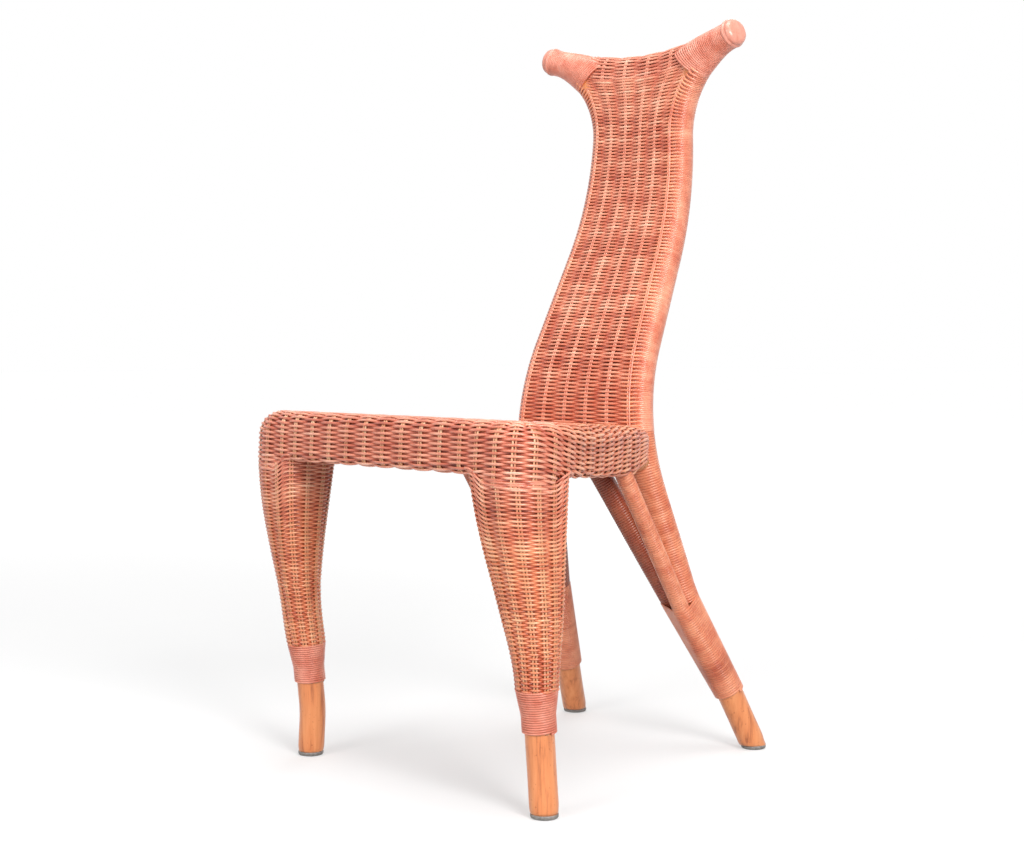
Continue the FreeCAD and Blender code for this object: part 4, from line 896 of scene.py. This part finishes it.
cuff_length = float((cuff_top - cuff_low) @ leg_way)
cuff_turns = int(cuff_length / WRAP_PITCH)
cuff_path = []
for turn in range(cuff_turns):
    ring = taut_ring((turn + 0.5) / cuff_turns)
    rise = (turn + np.arange(CUFF_STEPS) / CUFF_STEPS) / cuff_turns * cuff_length
    cuff_path.append(cuff_low + ring[:, :1] * leg_side + ring[:, 1:] * leg_ahead + rise[:, None] * leg_way)
cuff_path = np.vstack(cuff_path)[None]
wrap_axis = post_line[(post_line[:, 2] > CUFF_HIGH - 4) & (post_line[:, 2] < BACK_LOW - 1)]


def wrap_piece(name, node, side, mirror, line, out, steps, painted_shade=1.0):
    """Fine cane wound on a rear leg, in the place of a CAD node, its tints darkened by a factor of painted
    shade.
    """
    turns = strands(line, out, WRAP_HALF, turn_tints(line.shape[1], steps) * painted_shade, flat=WRAP_FLAT)
    mesh_piece(name + side, [turns], WRAP, (node + side,), mirror, warm=rear_leg)


for side, mirror in HANDS:
    wrap_piece("rear_cuff_cane_", "rear_leg_cuff_", side, mirror, cuff_path, leg_way, CUFF_STEPS)
    line, out = helix(wrap_axis, POLE + POST_WRAP, WRAP_PITCH, POST_STEPS)
    wrap_piece("rear_post_cane_", "rear_post_wrap_", side, mirror, line, out, POST_STEPS)
    for name, (top, low, radius) in BRACES.items():
        axis = even([top + (low - top) * BRACE_WOUND, top], step=1.0)
        line, out = helix(axis, radius + BRACE_WRAP, WRAP_PITCH, BRACE_STEPS)
        wrap_piece(name + "_brace_cane_", name + "_brace_wrap_", side, mirror, line, out, BRACE_STEPS,
                   PAINTED_BRACE_SHADE[name])

# Horns: fine binding that swells over the end of the rail, a ring and a rounded cap
HORN_ROOT, HORN_PITCH, HORN_STEPS = 78.0, 2.9, 40
HORN_STRAND, HORN_FLAT, HORN_INSET = 1.72, 0.62, 1.1
# Half height, half depth and rise of the binding at four shares of its length, from the root out
HORN_STOPS = [0.0, 0.35, 0.70, 1.0]
HORN_TALL, HORN_DEEP, HORN_LIFT = [31.0, 25.0, 19.4, 18.9], [20.7, 19.9, 19.0, 18.8], [11.5, 4.0, 0.6, 0.0]
horn_axis = post_line[len(post_line) - int(HORN_ROOT) - 1:]
horn_turns = HORN_ROOT / HORN_PITCH
horn_count = int(horn_turns * HORN_STEPS)
share = np.linspace(0, 1, horn_count)
marks = share * (len(horn_axis) - 1)
way = unit(along(ways(horn_axis), marks))
level, depth = square_to(way, (0, -1, 0))
angle = 2 * np.pi * share * horn_turns
tall, deep, lift = [np.polyval(np.polyfit(HORN_STOPS, values, 3), share)[:, None]
                    for values in (HORN_TALL, HORN_DEEP, HORN_LIFT)]
horn_path = (along(horn_axis, marks) + level * lift
             + around(angle, level * (tall - HORN_INSET), depth * (deep - HORN_INSET)))[None]


def lathe(profile, centre, axis, count=48):
    """A turned shape: a profile of radius and height, spun about an axis."""
    axis = unit(np.array(axis, float))
    aside, ahead = square_to(axis, (0.3, 1, 0.2))
    angle = 2 * np.pi * np.arange(count) / count
    profile = np.array(profile, float)[:, :, None, None]
    return rings_mesh(np.array(centre) + profile[:, 0] * around(angle, aside, ahead) + profile[:, 1] * axis)


# Radius and height: a ring against the binding, a groove, the rounded shoulder and the nearly flat end
CAP = [(8.0, -3.0), (17.4, -2.4), (18.9, -1.4), (19.5, 0.2), (19.2, 1.7), (18.0, 2.6), (17.5, 3.2),
       (17.7, 4.0)]
CAP += [(9.2 + 8.6 * math.cos(turn), 5.0 + 7.0 * math.sin(turn))
        for turn in np.radians(np.linspace(0, 90, 12))]
CAP += [(6.0, 12.6), (2.5, 12.9), (0.02, 13.0)]
cap_way = unit(post_line[-1] - post_line[-6])
for side, mirror in HANDS:
    tints = turn_tints(horn_count, HORN_STEPS) + 0.06
    binding = strands(horn_path, way[None], HORN_STRAND, tints, flat=HORN_FLAT)
    mesh_piece("horn_cane_" + side, [binding], WRAP, ("horn_binding_" + side,), mirror)
    mesh_piece("horn_cap_" + side, [lathe(CAP, post_line[-1], cap_way)], HORN_WOOD,
               ("horn_end_cap_" + side,), mirror)


# Poles: the bare feet of the legs, and the posts inside their binding
POLE_FOOT, POLE_STEP, POLE_SIDES = 5.4, 4.0, 40


def pole_tube(line):
    """A peeled pole with slight swellings, drawn in at the foot and cut level at the glide."""
    line = even(line[line[:, 2] > POLE_FOOT - 12], step=POLE_STEP)
    way = ways(line)
    aside, ahead = square_to(way, (0, 1, 0.02))
    angle = 2 * np.pi * np.arange(POLE_SIDES) / POLE_SIDES
    run = np.arange(len(line)) * POLE_STEP
    swell = POLE * (1 + 0.008 * np.sin(run / 37.0) + 0.006 * np.sin(run / 13.0 + 1.0))
    swell = swell * (1 - 0.07 * np.clip(1 - (line[:, 2] - POLE_FOOT) / 10.0, 0, 1) ** 2)
    points = line[:, None] + swell[:, None, None] * around(angle, aside[:, None], ahead[:, None])
    shift = np.maximum(POLE_FOOT - points[..., 2], 0) / way[:, None, 2]
    return rings_mesh(points + shift[..., None] * way[:, None, :])


# Radius and height of a glide, and the level where it is centred on its pole
GLIDE_LEVEL = 4.0
GLIDE_SHAPE = [(0.01, 0.0), (13.0, 0.0), (15.4, 0.7), (16.4, 2.0), (16.6, 3.8), (16.3, 5.4), (14.0, 6.2),
               (0.01, 6.2)]
for side, mirror in HANDS:
    for name, node, line in (("front_pole_", "front_leg_pole_", front_line),
                             ("back_pole_", "back_post_", post_line)):
        mesh_piece(name + side, [pole_tube(line)], POLES, (node + side,), mirror)
    for label, line in (("front", front_line), ("rear", post_line)):
        foot = along(line, GLIDE_LEVEL, line[:, 2])
        mesh_piece("%s_glide_cap_%s" % (label, side), [lathe(GLIDE_SHAPE, (foot[0], foot[1], 0), UP)],
                   GLIDE, ("%s_glide_%s" % (label, side),), mirror)

# CAD nodes that are left showing take the look of their slot
slot_of = {part["node"]: part["material_slot"] for part in frame["record"]["subparts"]}
for node, thing in frame["nodes"].items():
    thing.data.materials.clear()
    thing.data.materials.append(SLOT_LOOKS[slot_of[node]])


# Floor, light and camera
def either(tree, first, second):
    return add(tree, "ShaderNodeMath", {0: first, 1: second}, operation="MAXIMUM").outputs["Value"]


def plain_sight(tree):
    """One where the background is looked at, straight or in something shiny, nought where it gives light."""
    rays = add(tree, "ShaderNodeLightPath").outputs
    return either(tree, rays["Is Camera Ray"],
                  either(tree, rays["Is Glossy Ray"], rays["Is Transmission Ray"]))


# White paper under the chair, matt, so that it takes a soft shadow
FLOOR = 30
floor_mesh = bpy.data.meshes.new("floor")
floor_mesh.from_pydata([(-FLOOR, -FLOOR, 0), (FLOOR, -FLOOR, 0), (FLOOR, FLOOR, 0), (-FLOOR, FLOOR, 0)], [],
                       [(0, 1, 2, 3)])
floor = bpy.data.objects.new("floor", floor_mesh)
bpy.context.scene.collection.objects.link(floor)
paper, tree, place = new_material("studio_paper_white")
matt = add(tree, "ShaderNodeBsdfPrincipled", (), {"Base Color": linear("#B9B9B9"), "Roughness": 0.9,
                                                  "Specular IOR Level": 0.05}).outputs["BSDF"]
away = add(tree, "ShaderNodeVectorMath", {0: place}, operation="LENGTH").outputs["Value"]
# Far from the lamps the paper shines more by itself, so that it stays white to the horizon
fill = mapped(tree, away, 0.5, 4.5, 0.46, 0.84, interpolation_type="SMOOTHSTEP")
strength = add(tree, "ShaderNodeMath", {0: plain_sight(tree), 1: fill}, operation="MULTIPLY").outputs["Value"]
glow = add(tree, "ShaderNodeEmission", {"Strength": strength}, {"Color": linear("#FFFFFF")})
both = add(tree, "ShaderNodeAddShader", {0: matt, 1: glow.outputs["Emission"]})
add(tree, "ShaderNodeOutputMaterial", {"Surface": both.outputs["Shader"]})
floor_mesh.materials.append(paper)

world = bpy.data.worlds.new("studio")
bpy.context.scene.world = world
world.use_nodes = True
tree = world.node_tree
tree.nodes.clear()
seen = mapped(tree, plain_sight(tree), 0.0, 1.0, 0.27, 1.0)
sky = add(tree, "ShaderNodeBackground", {"Strength": seen}, {"Color": linear("#FFFFFF")})
add(tree, "ShaderNodeOutputWorld", {"Surface": sky.outputs["Background"]})


def lamp(name, place, aim, size, power):
    """A round softbox at a place in metres, aimed at a height over the chair's middle."""
    light = bpy.data.lights.new(name, "AREA")
    light.shape = "DISK"
    light.size = size
    light.energy = power
    thing = bpy.data.objects.new(name, light)
    thing.location = place
    way = unit(np.array([0, 0, aim]) - place)
    thing.rotation_euler = (math.acos(-way[2]), 0, math.atan2(-way[0], way[1]))
    bpy.context.scene.collection.objects.link(thing)


lamp("key_softbox", (2.7, -1.0, 1.7), 0.5, 1.3, 88)
lamp("front_softbox", (0.2, -2.9, 1.3), 0.5, 1.4, 36)
lamp("top_softbox", (0.3, -0.3, 3.0), 0.4, 1.8, 50)
lamp("rear_softbox", (-1.6, 2.6, 2.0), 0.5, 1.8, 22)

# The camera as solved from the photo: turned to the chair's left and a little downwards
CAMERA_TURN, CAMERA_DIP = 45.94, 2.474
view = bpy.data.cameras.new("camera")
view.sensor_fit = "HORIZONTAL"
view.sensor_width = 36.0
view.lens = 61.87
camera = bpy.data.objects.new("camera", view)
camera.location = (1.6199, -1.6042, 0.5398)
camera.rotation_euler = (math.radians(90 - CAMERA_DIP), 0, math.radians(CAMERA_TURN))
bpy.context.scene.collection.objects.link(camera)
bpy.context.scene.camera = camera
bpy.context.scene.view_settings.view_transform = "Standard"
